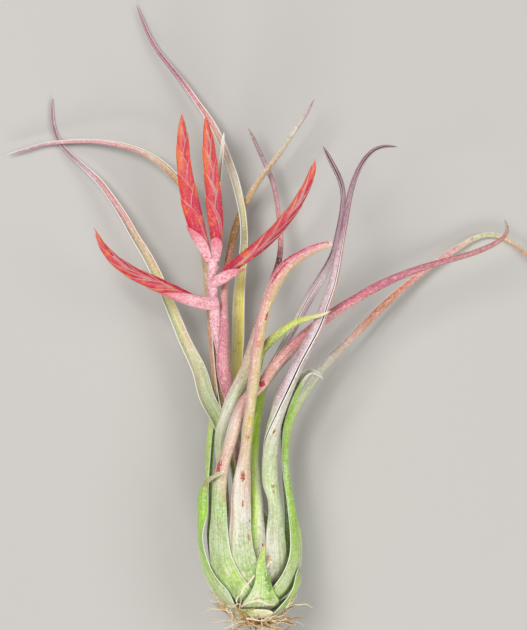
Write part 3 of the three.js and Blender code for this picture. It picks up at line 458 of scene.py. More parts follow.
# %% Leaves behind and at the right, in the same way
BACK_LEAVES = {
    "arch_left_leaf": {
        "node": "leaf_arch_left", "slot": "leaf_pink",
        "sheath": dict(layer=3.6, azimuth=(-126, -118), radius=18.5, widest=8.6, neck=4.2),
        "rows": [
            (210.5, 512, 13.6, 16, 55, -116), (209, 495, 12.8, 13, 72, -114),
            (208.5, 478, 12, 11.5, 88, -112), (209, 460, 11.2, 11, 100, -110),
            (210, 440, 10.6, 11, 110, -110), (213, 415, 10.2, 11, 116, -112),
            (215, 390, 10.4, 11.5, 118, -114), (214.5, 365, 11.2, 11.5),
            (212.3, 340, 12.2, 11.2, 118, -112), (209.6, 310, 13.4, 10.6, 118, -110),
            (206.8, 280, 14.4, 10.2), (203.4, 250, 15, 10), (198.4, 225, 14.8, 10),
            (190, 200, 13.8, 10), (177, 180.5, 12.4, 9.6), (164, 167, 11.2, 9),
            (147.4, 155.5, 9.8, 8), (126, 147, 8, 7), (105, 143, 6, 6), (84, 141.6, 4.2, 5.5),
            (63, 142.6, 3.2, 5), (42, 145, 2.8, 4), (25.3, 150, 2.8, 3.4, 115, -110),
            (6.3, 154.8, 3, 1.8, 110, -110)],
    },
    "tallest_back_leaf": {
        "node": "leaf_tallest_back", "slot": "leaf_silver",
        "sheath": dict(layer=4.9, azimuth=(-176, -165), radius=16.5, widest=8, neck=4.2),
        "rows": [
            (240, 512, 7.8, 17, 60, -166), (238.5, 492, 8.4, 15, 76, -167),
            (237, 470, 9, 13.5, 84, -168), (236, 448, 9.6, 12.5, 84, -170),
            (235.3, 424, 10.2, 12, 82, -170), (235.2, 400, 10.8, 12, 80, -170),
            (236, 372, 11.4, 12.2, 78, -170), (237.7, 340, 12.2, 13, 76, -170),
            (238, 310, 13, 13, 76, -168), (239.8, 280, 13.8, 11, 78, -165),
            (242.5, 255, 14.6, 9, 82, -162), (243.5, 235, 15.3, 8.2, 86, -160),
            (242.3, 216, 15.7, 8, 88, -158), (239, 199, 15.4, 8.5, 90, -155),
            (234, 180, 14.2, 9.5, 94, -150), (227, 160, 12.4, 9, 98, -148),
            (219, 140, 10.4, 8.5, 102, -146), (210, 123, 8.8, 8, 108, -145),
            (197, 104, 7.2, 7, 114, -145), (183, 84, 5.6, 6, 118, -145), (170, 67, 4.2, 5),
            (158, 52, 2.9, 4.5), (148, 35, 1.9, 4), (141, 18, 1.4, 3, 115, -145),
            (136, 4, 1.3, 1.6, 110, -145)],
    },
    "small_left_leaf": {
        "node": "leaf_small_left", "slot": "leaf_pink",
        "sheath": dict(layer=7.7, azimuth=(160, 162), radius=6, widest=3.6, neck=1.7),
        "rows": [
            (253.5, 512, 17.4, 8.5, 75, 165), (250, 494, 17.6, 8.5, 90, 170),
            (245.5, 476, 17.9, 8.5, 100, 175), (240.5, 458, 18.3, 8.5, 108, 180),
            (235, 441, 18.7, 8.5, 112, 180), (229, 424, 19, 8.5, 115, 180),
            (223.5, 404, 19.2, 8.2), (219.5, 380, 19.2, 8), (217, 356, 19.2, 8),
            (215.3, 332, 19.4, 8), (214.3, 305, 19.6, 7.8), (214.3, 278, 19.8, 7.6),
            (215, 250, 20, 7.4), (215.8, 222, 20.3, 7), (217.2, 196, 20.7, 6.4),
            (219, 175, 21, 5.8), (220.4, 163, 21.2, 5), (222, 150, 21.4, 4.2),
            (223, 140, 21.6, 3.4, 110, 180), (224, 132, 21.8, 1.8, 105, 180)],
    },
    "long_right_leaf": {
        "node": "leaf_long_right", "slot": "leaf_pink",
        "sheath": dict(layer=4.2, azimuth=(124, 118), radius=18.4, widest=9, neck=4.4),
        "rows": [
            (289.5, 512, 13.6, 16, 55, 116), (288, 495, 13.4, 13.5, 70, 114),
            (286.5, 478, 13.4, 12, 85, 112), (286, 460, 13.6, 11, 98, 109),
            (286.5, 443, 14, 10.5, 108, 106), (289.5, 426, 14.4, 10.5, 114, 102),
            (296.5, 408, 14.6, 10.5, 118, 97), (305, 394.5, 14.2, 10.5, 118, 93),
            (315, 378.5, 13.4, 10.5, 118, 90), (328, 362, 12.3, 11, 118, 88),
            (345, 345, 10.9, 11, 118, 86), (365, 325, 9.1, 11, 118, 85), (385, 305, 7.4, 10.5),
            (405, 287, 5.8, 9.5), (425, 271, 4.3, 8.5), (445, 257, 3.2, 8.4), (460, 247, 2.3, 8),
            (475, 238.5, 1.62, 7.5), (488, 235.2, 1.36, 7), (500, 237, 1.47, 6.5),
            (512, 243.3, 1.82, 5.5), (527, 256, 2.52, 4.5, 115, 85),
            (539, 267.5, 3.32, 2.6, 110, 85)],
    },
    "dry_right_leaf": {
        "node": "leaf_dry_right", "slot": "leaf_green",
        "sheath": dict(layer=3.1, azimuth=(66, 62), radius=20.8, widest=10.2, neck=4.6),
        "rows": [
            (293, 512, 30.2, 16, 55, 64), (290.5, 496, 29.4, 14, 70, 70),
            (287.5, 480, 28.6, 12.5, 85, 78), (285.5, 462, 28.1, 11.5, 100, 88),
            (285, 444, 27.9, 11, 112, 98), (285.8, 428, 27.9, 11, 118, 108),
            (289, 412, 28.1, 11, 120, 118), (293.5, 397.5, 28.5, 11, 120, 126),
            (299.5, 385, 29, 10.5, 120, 130), (305.5, 375.5, 29.6, 9.5, 115, 130),
            (311, 371.5, 30.2, 7, 105, 128), (317.5, 374, 30.4, 5, 95, 125),
            (323.5, 379.5, 30.2, 2.4, 90, 120)],
    },
    "wrapping_stalk_leaf": {
        "node": "stalk_leaf", "slot": "leaf_pink",
        "rows": [
            (232, 402, 25.2, 13, 75, 30), (229.5, 392, 25.6, 14, 85, 25),
            (226.5, 378, 26.2, 15, 90, 22), (224.4, 364, 26.8, 15), (224.4, 350, 27.2, 13, 92, 26),
            (225.2, 338, 27, 10.5, 100, 32), (225.6, 325, 26.2, 8.8, 110, 40),
            (225.2, 312, 24.8, 8.2, 115, 45), (225.2, 296, 23, 8, 115, 50), (226.3, 280, 21, 8),
            (229, 262, 18.6, 8, 115, 52), (233, 243, 15.6, 8.5, 115, 54),
            (237.5, 225, 12.8, 8.5, 115, 56), (243.5, 209, 11.2, 8, 115, 58),
            (250.5, 196, 11.6, 7.5, 115, 60), (259, 182, 13.8, 7, 115, 62),
            (268, 169.5, 16.6, 6.5, 115, 64), (278, 156.5, 18.4, 6, 115, 66),
            (288, 142, 19.4, 5.5, 115, 68), (298, 127, 20, 5, 115, 70),
            (308, 112, 20.2, 4, 112, 70), (315, 97, 20, 2.2, 105, 70)],
    },
}
print("leaves behind and at the right:", len(BACK_LEAVES))

# %% [markdown]
# ## The scales that close the bulb
#
# The lowest leaves never grew a blade. They are sheaths that stop at a short point, so they are
# made in the same way, with fewer stations.

# %% Scales, in the same way
SCALES = {
    "front_scale": {
        "node": "scale_front", "slot": "leaf_green",
        "sheath": dict(layer=1.6, azimuth=(11, 11), radius=21.9, widest=7.3, neck=3, until=60),
        "rows": [(261, 564, 41.6, 9, 12, 10), (262.8, 554, 42, 5.5, 12, 10),
                 (265, 545, 42.2, 2, 12, 10)],
    },
    "right_scale": {
        "node": "scale_right", "slot": "leaf_green",
        "sheath": dict(layer=1.1, azimuth=(80, 66), radius=22.2, widest=8.2, neck=3.6, until=60),
        "rows": [(297.5, 572, 30.6, 8, 20, 66), (300.5, 566, 31, 3, 20, 66)],
    },
    "base_scale": {
        "node": "scale_base", "slot": "leaf_green",
        "sheath": dict(layer=0, azimuth=(-6, -3), radius=21.8, widest=9.6, neck=6.5, until=42),
        "rows": [],
    },
    "back_scale": {
        "node": "scale_back", "slot": "leaf_green",
        "sheath": dict(layer=0, azimuth=(180, 180), radius=22.6, widest=13, neck=9),
        "rows": [(249.8, 514, 1.4, 34, 25, 180), (249.5, 500, 2.2, 20, 25, 180),
                 (249, 488, 3.2, 6, 25, 180)],
    },
}
LEAVES = {**FRONT_LEAVES, **MIDDLE_LEAVES, **BACK_LEAVES, **SCALES}
print("scales:", len(SCALES), "and leaves and scales in all:", len(LEAVES))

# %% [markdown]
# ## From a flat strip to a leaf
#
# A real leaf is a gutter whose margins close over its hollow side until it is almost a tube. A
# bend modifier rolls a strip round one straight axis, but these blades turn and narrow all the
# way up. So a flat grid is added, and each of its points is moved by its place along and across
# the leaf. Solidify gives the wall, thinner at the margins, and a subdivision rounds it. Points
# keep numbers for the finish: how far along, across and from the margin they are, and whether
# they are on the hollow side.

# %% A flat strip to start each leaf from
STRIP_ACROSS = 16
STRIP_STEP, FEWEST_STEPS = 2.2, 8


def deselect_all():
    """An operator acts on all that is selected, so nothing may be left over."""
    bpy.ops.object.select_all(action="DESELECT")


def flat_strip(name, across, along):
    """A flat strip of quads that reaches from -1 to 1 across and from 0 to 1 along."""
    deselect_all()
    bpy.ops.mesh.primitive_grid_add(x_subdivisions=across, y_subdivisions=along, size=2)
    strip = bpy.context.object
    strip.name = name
    strip.data.name = name
    return strip


def points_of(piece):
    """The piece's points in its own units, one row each."""
    flat = np.zeros(len(piece.data.vertices) * 3)
    piece.data.vertices.foreach_get("co", flat)
    return flat.reshape(-1, 3)


def strip_places(strip):
    """Where each point is across, -1 to 1, and along, 0 to 1."""
    points = points_of(strip)
    return points[:, 0], (points[:, 1] + 1) / 2


def place_points(piece, places):
    """Moves the piece's points to places in millimetres and leaves its origin at the origin."""
    piece.data.vertices.foreach_set("co", (np.asarray(places) * MM).ravel())
    piece.location = (0, 0, 0)
    piece.data.update()


def give_attributes(piece, **values):
    """Keeps one number of each name for each point, for the finish to read."""
    for name, numbers in values.items():
        numbers = np.broadcast_to(numbers, len(piece.data.vertices))
        attribute = piece.data.attributes.new(name, "FLOAT", "POINT")
        attribute.data.foreach_set("value", numbers.astype(np.float32))


def apply_modifier(piece, kind, **settings):
    """Adds a modifier with these settings and applies it."""
    deselect_all()
    bpy.context.view_layer.objects.active = piece
    piece.select_set(True)
    modifier = piece.modifiers.new(kind.lower(), kind)
    for key, value in settings.items():
        setattr(modifier, key, value)
    bpy.ops.object.modifier_apply(modifier=modifier.name)


# %% The form of a rolled leaf
TIP_LENGTH, TIP_WIDTH = 4, 0.12
WAVES = {"long": (0.02, 9.0), "short": (0.015, 4.1)}
TIGHTER, TIGHT_FROM, TIGHT_OVER = 24, 128, 20
THINNEST_INSIDE = 0.3
LOWEST = 0.02
CREASE = {"leaf": "cut_front_leaf", "across": -0.6, "breadth": 0.13, "height": 0.55,
          "rows": (572, 462), "ends": 0.03}


def half_widths(leaf, line, across, along, w):
    """The half-width of the roll: it waves a little, and rounds off at a tip that isn't cut."""
    if leaf.get("tip") != "cut":
        to_tip = np.clip((1 - along) * line.length / TIP_LENGTH, 0, 1)
        w = w * np.clip(np.sqrt(1 - (1 - to_tip) ** 2), TIP_WIDTH, 1)
    for height, every in WAVES.values():
        w = w * (1 + height * np.sin(along * line.length / every + across))
    return w


def crease(name, line, across, along):
    """How far a crease along the leaf lifts each point of its skin, in millimetres."""
    if name != CREASE["leaf"]:
        return 0
    low, high = [line.share_at_row(row) for row in CREASE["rows"]]
    ends = np.clip(np.minimum(along - low, high - along) / CREASE["ends"], 0, 1)
    return CREASE["height"] * ends * np.exp(-((across - CREASE["across"]) / CREASE["breadth"]) ** 2)


def rolled_skin(name, leaf, line, across, along):
    """The outer skin of a leaf, the radii of its roll outside and inside, its curl in radians
    and the direction that its back looks to."""
    p, w, curl, wall, _, out, side = line.frames(along)
    w = half_widths(leaf, line, across, along, w)
    curl = np.radians(curl + TIGHTER * np.clip((curl - TIGHT_FROM) / TIGHT_OVER, 0, 1))
    outer = w / np.sin(np.minimum(curl, math.pi / 2))
    inner = np.maximum(THINNEST_INSIDE * outer, outer - wall)
    depth = (outer * (1 - np.cos(curl)) + (outer - inner) * np.cos(curl)) / 2
    centre = p + out * (depth - outer)[:, None]
    angle = (across * curl)[:, None]
    raised = (outer + crease(name, line, across, along))[:, None]
    skin = centre + out * raised * np.cos(angle) + side * raised * np.sin(angle)
    skin[:, 2] = np.maximum(skin[:, 2], LOWEST)
    return skin, outer, inner, curl, out


# %% The walls and margins of a leaf
FULL_MARGIN_ARC, LEAST_MARGIN = 5.5, 0.3
MARGIN_ROW, MARGIN_EASE, LOW_MARGIN_LESS = 470, 0.06, 0.5
MARGIN_THINNING, THINNING_POWER = 0.6, 6


def from_margin(line, across, along, arc):
    """Millimetres from the nearer margin, stretched where the pale line there has to be thin:
    on a narrow blade, and low on the bulb."""
    low_down = np.clip((line.share_at_row(MARGIN_ROW) - along) / MARGIN_EASE, 0, 1)
    narrower = np.clip(arc / FULL_MARGIN_ARC, LEAST_MARGIN, 1) * (1 - LOW_MARGIN_LESS * low_down)
    return (1 - np.abs(across)) * arc / narrower


def give_wall(strip, walls, out):
    """Gives the strip its wall on the hollow side, marks that side and rounds the whole."""
    group = strip.vertex_groups.new(name="wall")
    for i, wall in enumerate(walls):
        group.add([i], float(wall / SHEATH_WALL), "REPLACE")
    first_face = strip.data.polygons[0]
    if first_face.normal.dot(Vector(out[first_face.vertices[0]])) < 0:
        strip.data.flip_normals()
    outer_points = len(strip.data.vertices)
    apply_modifier(strip, "SOLIDIFY", thickness=SHEATH_WALL * MM, offset=-1,
                   vertex_group="wall", thickness_vertex_group=0)
    give_attributes(strip, inside=np.arange(len(strip.data.vertices)) >= outer_points)
    apply_modifier(strip, "SUBSURF", levels=1, render_levels=1)
    bpy.ops.object.shade_smooth()


# %% All leaves and scales
leaf_lines, leaf_skins = {}, {}


def rolled_leaf(name, leaf):
    """Rolls a flat strip to a gutter and lays it along the leaf's line."""
    stations = sheath(**leaf["sheath"]) if "sheath" in leaf else []
    line = Line(stations + blade_stations(leaf["rows"]))
    strip = flat_strip(name, STRIP_ACROSS, max(FEWEST_STEPS, round(line.length / STRIP_STEP)))
    across, along = strip_places(strip)
    skin, outer, inner, curl, out = rolled_skin(name, leaf, line, across, along)
    place_points(strip, skin)
    give_attributes(strip, along=along, across=across, ripple=along * line.length,
                    edge=from_margin(line, across, along, outer * curl))
    give_wall(strip, (outer - inner) * (1 - MARGIN_THINNING * np.abs(across) ** THINNING_POWER),
              out)
    leaf_lines[name] = line
    leaf_skins[name] = skin, along, across
    return strip


def finish_piece(piece, nodes, slot):
    """Hangs the piece on the plant's one body and lets it stand for its solids."""
    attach(piece, "root")
    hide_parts(*nodes)


for name, leaf in LEAVES.items():
    piece = rolled_leaf(name, leaf)
    finish_piece(piece, [leaf["node"]], leaf["slot"])
    print(name, "faces:", len(piece.data.polygons), "length:", round(leaf_lines[name].length), "mm")

# %% [markdown]
# ## What the skin is like
#
# An air plant drinks through tiny silvery scales that cover its leaves. They dim the green and
# pink below them, gather in streaks along the leaf and are thickest at the margins, so each leaf
# has a pale outline. Under them the leaf runs from green at the bulb over tan to pink and mauve
# at the tip. The scales and the margins are the same on every leaf, so each is a node group, and
# the tones of each leaf are ramps over its length.

# %% Tones, by their names
TONES = {
    "ivory": "#ece8d8", "cream": "#ede6bf", "silver": "#d3d1c0", "silver_green": "#c3cda2",
    "pale_green": "#cadba6", "soft_green": "#abcb78", "fresh_green": "#a3c859", "lime": "#bedd74",
    "bright_lime": "#aede4a", "deep_green": "#78a238", "dark_green": "#4a6a26", "olive": "#a69a4e",
    # The glowing lime and the two bright straws are painted light: lighter than the leaf's own
    # colour, to make up for the shade those parts lie in.
    "straw": "#d6cf86", "pale_straw": "#f6eea4", "bright_straw": "#fdf27c",
    "yellow_green": "#d3d766", "gold": "#dcc04a", "sand": "#dac4a2", "glow_lime": "#d4ff4a",
    "tan": "#cfae88", "ochre": "#c09352", "brown": "#8d6b3c", "rust": "#ad5230",
    "salmon": "#d8876a", "blush": "#dab8a4", "rose": "#dc9e9c", "pink": "#dc8298",
    "bright_pink": "#d4527e", "crimson": "#bd2a42", "wine": "#77293a", "lilac": "#cdb4be",
    "mauve": "#bd8ca6", "grey_mauve": "#9c8494", "dust": "#b3a79c", "bract_crimson": "#c4123e",
    "bract_red": "#d93a52", "scarlet": "#dc303a", "coral": "#e04430", "orange": "#e8742e",
    "pale_pink": "#f3c8d2", "root_tan": "#c69d62", "root_brown": "#a07846",
    "root_cream": "#f0e4c6",
}
print("tones:", len(TONES))


# %% Nodes put down and joined
# Object coordinates are in metres, so this scale gives one grain to a millimetre.
MILLIMETRE_GRAIN = 1000


class Sheet:
    """Adds nodes to a material or a group. A value may be a number, a colour or a socket."""

    def __init__(self, tree):
        self.tree = tree
        self.coordinates = None

    def feed(self, socket, value):
        if isinstance(value, bpy.types.NodeSocket):
            self.tree.links.new(value, socket)
        else:
            socket.default_value = value

    def put(self, kind, inputs=None, **settings):
        node = self.tree.nodes.new(kind)
        for key, value in settings.items():
            setattr(node, key, value)
        for key, value in (inputs or {}).items():
            self.feed(node.inputs[key], value)
        return node

    def group(self, tree, inputs):
        """A node group with what it is given: its outputs."""
        return self.put("ShaderNodeGroup", inputs, node_tree=tree).outputs

    def place(self):
        """Where on the piece a point is, in metres, from one node for the whole sheet."""
        if self.coordinates is None:
            self.coordinates = self.put("ShaderNodeTexCoord").outputs["Object"]
        return self.coordinates

    def attribute(self, name):
        return self.put("ShaderNodeAttribute", attribute_name=name).outputs["Fac"]

    def math(self, operation, a, b=0.0):
        return self.put("ShaderNodeMath", {0: a, 1: b}, operation=operation).outputs[0]

    def times(self, a, b):
        return self.math("MULTIPLY", a, b)

    def plus(self, a, b):
        return self.math("ADD", a, b)

    def minus(self, a, b):
        return self.math("SUBTRACT", a, b)

    def rise(self, value, start, end):
        """0 at the start value and 1 at the end one, smooth between. The start may be larger."""
        inputs = {"Value": value, "From Min": start, "From Max": end}
        return self.put("ShaderNodeMapRange", inputs,
                        interpolation_type="SMOOTHSTEP").outputs["Result"]

    def mix(self, share, a, b, blend="MIX"):
        inputs = {0: share, 6: a, 7: b}
        return self.put("ShaderNodeMix", inputs, data_type="RGBA", blend_type=blend).outputs[2]

    def dimmed(self, share, colour, tone):
        """The colour multiplied by a tone, as far as the share says."""
        return self.mix(share, colour, self.mix(1.0, colour, tone, "MULTIPLY"))

    def noise(self, place, scale, detail, rough):
        inputs = {"Vector": place, "Scale": scale, "Detail": detail, "Roughness": rough}
        return self.put("ShaderNodeTexNoise", inputs).outputs["Fac"]

    def grain(self, to_a_millimetre, detail=2.0, rough=0.5):
        """Noise that is fixed to the piece, with so many grains to a millimetre."""
        return self.noise(self.place(), to_a_millimetre * MILLIMETRE_GRAIN, detail, rough)

    def ramp(self, value, stops):
        """A colour ramp with stops of a place and a tone."""
        node = self.put("ShaderNodeValToRGB", {0: value})
        elements = node.color_ramp.elements
        while len(elements) < len(stops):
            elements.new(1)
        for element, (place, tone) in zip(elements, sorted(stops)):
            element.position = place
            element.color = linear(TONES[tone])
        return node.outputs["Color"]


# %% Groups and materials to fill
SOCKET_KINDS = {"colour": "NodeSocketColor", "number": "NodeSocketFloat"}


def node_group(name, gives, **given):
    """A node group with named sockets: its sheet, what it is given and where it puts out."""
    group = bpy.data.node_groups.new(name, "ShaderNodeTree")
    for direction, sockets in (("INPUT", given), ("OUTPUT", gives)):
        for kind, labels in sockets.items():
            for label in labels:
                group.interface.new_socket(name=label, in_out=direction,
                                           socket_type=SOCKET_KINDS[kind])
    sheet = Sheet(group)
    return group, sheet, sheet.put("NodeGroupInput").outputs, sheet.put("NodeGroupOutput").inputs


def new_skin(name, surface):
    """A new material: its sheet, and its shader's inputs, set to what is the same all over."""
    material = bpy.data.materials.new(name + "_skin")
    material.use_nodes = True
    shader = material.node_tree.nodes["Principled BSDF"].inputs
    for socket, value in surface.items():
        shader[socket].default_value = value
    return material, Sheet(material.node_tree), shader


def add_relief(sheet, shader, height, depth, strength):
    """A bump this many millimetres deep."""
    bump = sheet.put("ShaderNodeBump", {
        "Strength": strength, "Distance": depth * MM, "Height": height})
    sheet.feed(shader["Normal"], bump.outputs["Normal"])


def add_roughness(sheet, shader, height, smoothest, roughest):
    """Roughness that follows the same heights as the bump."""
    sheet.feed(shader["Roughness"], sheet.put("ShaderNodeMapRange", {
        "Value": height, "To Min": smoothest, "To Max": roughest}).outputs["Result"])


print("kinds of group socket:", ", ".join(SOCKET_KINDS))


# %% The silvery scales
SCALE_WHITE, STREAK_TONE, BLOTCH_TONE = linear("#f1eee6"), linear("#b9b08c"), linear("#c6a58a")
LANES, LANE_PULL = 5.0, 0.07
STREAKS_SHOW, BLOTCHES_SHOW, FLUSH_SHOWS, SCALES_SHOW = (
    (0.62, 0.36), (0.56, 0.72), (0.48, 0.66), (0.54, 0.72))
BLOTCH_SHARE = 0.3
CROWD_IN_STREAKS, CELL_GAPS = 0.35, 0.25
SCALE_HEIGHT, STREAK_HEIGHT = 0.5, 0.8


def silvery_scales():
    """Streaks along the leaf, soft blotches and pale scales over a colour."""
    group, sheet, given, gives = node_group(
        "silvery_scales", gives={"colour": ["Colour"], "number": ["Height"]},
        colour=["Colour", "Flush colour"],
        number=["Amount", "Streaks", "Flush", "Across", "Ripple", "Seed"])
    lane = sheet.put("ShaderNodeCombineXYZ", {
        "X": sheet.times(given["Across"], LANES), "Y": sheet.times(given["Ripple"], LANE_PULL),
        "Z": given["Seed"]}).outputs["Vector"]
    streak = sheet.noise(lane, 1.6, detail=3.0, rough=0.6)
    blotch = sheet.grain(0.3, detail=3.0, rough=0.6)
    flushed = sheet.grain(0.75, detail=4.0, rough=0.7)
    grain = sheet.grain(0.95, detail=5.0, rough=0.75)
    cells = sheet.put("ShaderNodeTexVoronoi", {
        "Vector": sheet.place(), "Scale": 2.6 * MILLIMETRE_GRAIN}).outputs["Distance"]
    shade = sheet.times(sheet.rise(streak, *STREAKS_SHOW), given["Streaks"])
    colour = sheet.dimmed(shade, given["Colour"], STREAK_TONE)
    colour = sheet.dimmed(sheet.times(sheet.rise(blotch, *BLOTCHES_SHOW), BLOTCH_SHARE), colour,
                          BLOTCH_TONE)
    colour = sheet.dimmed(sheet.times(sheet.rise(flushed, *FLUSH_SHOWS), given["Flush"]), colour,
                          given["Flush colour"])
    crowd = sheet.plus(grain, sheet.times(streak, CROWD_IN_STREAKS))
    crowd = sheet.minus(crowd, sheet.times(cells, CELL_GAPS))
    scales = sheet.rise(crowd, *SCALES_SHOW)
    sheet.feed(gives["Colour"],
               sheet.mix(sheet.times(scales, given["Amount"]), colour, SCALE_WHITE))
    sheet.feed(gives["Height"], sheet.plus(sheet.times(scales, SCALE_HEIGHT),
                                           sheet.times(streak, STREAK_HEIGHT)))
    return group


SILVERY_SCALES = silvery_scales()
print("group made:", SILVERY_SCALES.name)

# %% [markdown]
# ## Margins and flecks
#
# The outline of a leaf stays pale because its scales crowd at the margin. The distance from the
# margin is kept on the points, so a group can lay a line of one width over any leaf. Old leaves
# also have rust-coloured and green spots, and deep green flecks low on the bulb are painted shade
# in folds and under overlapping edges. Each is a ragged oval at a place along and across its leaf,
# laid by a second group, so a spot follows the roll of the leaf and needs no picture.

# %% The pale margin and the flecks
MARGIN_RAGGED, MARGIN_FADES = 0.6, (1.25, 0.6)
FLECK_RAGGED, FLECK_FADES = 2.6, (2.4, 1.7)


def pale_margin():
    """A thin pale line along both margins. Edge and width are in millimetres."""
    group, sheet, given, gives = node_group(
        "pale_margin", gives={"colour": ["Colour"]}, colour=["Colour", "Margin colour"],
        number=["Edge", "Width"])
    ragged = sheet.plus(sheet.grain(0.5), MARGIN_RAGGED)
    edge = sheet.math("DIVIDE", given["Edge"], sheet.times(given["Width"], ragged))
    sheet.feed(gives["Colour"], sheet.mix(sheet.rise(edge, *MARGIN_FADES), given["Colour"],
                                          given["Margin colour"]))
    return group


def fleck():
    """A ragged coloured spot at a place along and across a leaf."""
    group, sheet, given, gives = node_group(
        "fleck", gives={"colour": ["Colour"]}, colour=["Colour", "Fleck colour"],
        number=["Along", "Across", "At along", "At across", "Length", "Breadth"])
    far = []
    for value, centre, reach in (("Along", "At along", "Length"),
                                 ("Across", "At across", "Breadth")):
        off = sheet.math("DIVIDE", sheet.minus(given[value], given[centre]), given[reach])
        far.append(sheet.times(off, off))
    ragged = sheet.grain(1.1, detail=3.0, rough=0.7)
    edge = sheet.plus(sheet.plus(*far), sheet.times(ragged, FLECK_RAGGED))
    sheet.feed(gives["Colour"], sheet.mix(sheet.rise(edge, *FLECK_FADES), given["Colour"],
                                          given["Fleck colour"]))
    return group


PALE_MARGIN, FLECK = pale_margin(), fleck()
print("groups made:", PALE_MARGIN.name, FLECK.name)

# %% [markdown]
# ## Tones of each leaf
#
# Each leaf lists its tones from the bulb up: the picture row, the tone of its outer face and that
# of the hollow side of the roll. Two names with a stroke between them are the tones at its two
# margins. One tone alone is that of both faces, and None stands for the tip. A ramp could hold
# the colours themselves, but names let one tone be changed on all leaves at once.

# %% Tones of the leaves in front
FRONT_TONES = {
    "cut_front_leaf": [
        (600, "pale_green", "soft_green"), (570, "pale_green/soft_green", "soft_green"),
        (545, "silver_green", "tan"), (515, "ivory/silver", "tan"), (480, "ivory/blush", "tan"),
        (450, "blush/sand", "tan"), (422, "blush/straw", "tan"), (390, "blush/straw", "tan"),
        (345, "rose/straw", "tan"), (310, "rose/straw", "tan"), (292, "rose/straw", "sand"),
        (270, "pink/straw", "sand"), (252, "pink/straw", "sand"), (246, "rose/cream", "sand"),
        (None, "ivory/cream", "cream")],
    "pink_right_leaf": [
        # The soft green at one margin at rows 600 and 578 is painted shade in the fold beside
        # dry_left_leaf.
        (600, "soft_green/pale_green", "soft_green"), (578, "soft_green/lime", "soft_green"),
        (545, "pale_green", "soft_green"), (510, "pale_green/soft_green", "soft_green"),
        (480, "silver_green/sand", "tan"), (466, "sand/blush", "tan"), (452, "blush", "rose"),
        (425, "ivory/blush", "tan"), (400, "rose", "wine"), (370, "rose/blush", "rose"),
        (335, "pink/rose", "rose"), (315, "pink/rose", "wine"),
        (300, "bright_pink/rose", "crimson"), (282, "pink", "crimson"), (266, "pink/rose", "pink"),
        (252, "rose", "pink"), (240, "rose"), (None, "silver_green", "dust")],
    "dry_left_leaf": [
        (608, "pale_green", "soft_green"), (592, "lime/pale_green", "soft_green"),
        (570, "bright_lime/lime", "soft_green"), (545, "bright_lime", "soft_green"),
        (510, "bright_lime", "deep_green"), (492, "bright_lime/fresh_green", "deep_green"),
        (480, "lime/olive", "deep_green"), (None, "cream", "brown")],
    "tall_right_leaf": [
        (590, "lime/pale_green", "tan"), (572, "silver/pale_green", "tan"),
        (545, "ivory/silver_green", "silver_green"), (515, "silver_green/pale_green", "tan"),
        (485, "pale_green/silver_green", "tan"), (455, "silver_green", "rose"),
        (425, "silver/silver_green", "wine"), (395, "silver/lilac", "wine"),
        (345, "lilac", "wine"), (305, "rose/lilac", "crimson"), (265, "rose/lilac", "crimson"),
        (225, "pink/mauve", "crimson"), (200, "mauve/lilac", "wine"), (165, "mauve"),
        (None, "grey_mauve", "mauve")],
    "channel_right_leaf": [
        (590, "lime/silver_green", "silver_green"), (545, "lime/ivory", "silver_green"),
        # The glowing lime of rows 510 to 400 is painted light on a part shaded by the leaves in
        # front.
        (510, "glow_lime/ivory", "silver_green"), (480, "glow_lime/ivory", "deep_green"),
        (440, "glow_lime", "deep_green"), (400, "glow_lime/lime", "dark_green"),
        (370, "silver_green/tan", "olive"), (335, "lilac/silver_green", "dark_green"),
        (300, "lilac", "wine"), (260, "lilac/mauve", "wine"), (225, "lilac/mauve", "wine"),
        (190, "lilac", "mauve"), (None, "mauve")],
}
print("tones given:", sum(len(stops) for stops in FRONT_TONES.values()))

# %% Tones of the leaves from the middle
MIDDLE_TONES = {
    "short_green_leaf": [
        (585, "soft_green"), (440, "lime", "fresh_green"), (380, "lime/fresh_green", "deep_green"),
        (345, "olive/deep_green", "dark_green"), (330, "yellow_green/fresh_green", "olive"),
        (320, "yellow_green", "lime"), (None, "cream")],
    "curved_centre_leaf": [
        (585, "pale_green", "soft_green"), (500, "pale_green/rose", "soft_green"),
        (462, "pale_green/silver_green", "soft_green"), (440, "pale_green/silver_green", "tan"),
        (415, "silver_green/ivory", "tan"), (390, "ivory/silver_green", "tan"),
        (360, "blush/sand", "tan"), (335, "lilac/blush", "rose"), (310, "rose"),
        (280, "rose/crimson", "crimson"), (262, "wine"), (245, "crimson/rose", "crimson"),
        (215, "pink/rose", "pink"), (170, "pink/lilac", "pink"), (None, "dust")],
    "long_left_leaf": [
        (590, "soft_green"), (440, "soft_green", "lime"),
        (410, "soft_green/pale_green", "silver_green/pale_green"),
        (380, "pale_green", "silver_green/cream"),
        (340, "silver_green/pale_green", "sand/pale_green"),
        (300, "sand/cream", "straw/pale_green"), (265, "sand/cream", "tan/silver_green"),
        (240, "blush/silver", "tan/dust"), (215, "rose/lilac", "rose/dust"),
        (185, "lilac", "rose/lilac"), (160, "lilac"), (130, "mauve"), (None, "lilac", "mauve")],
}
print("tones given:", sum(len(stops) for stops in MIDDLE_TONES.values()))

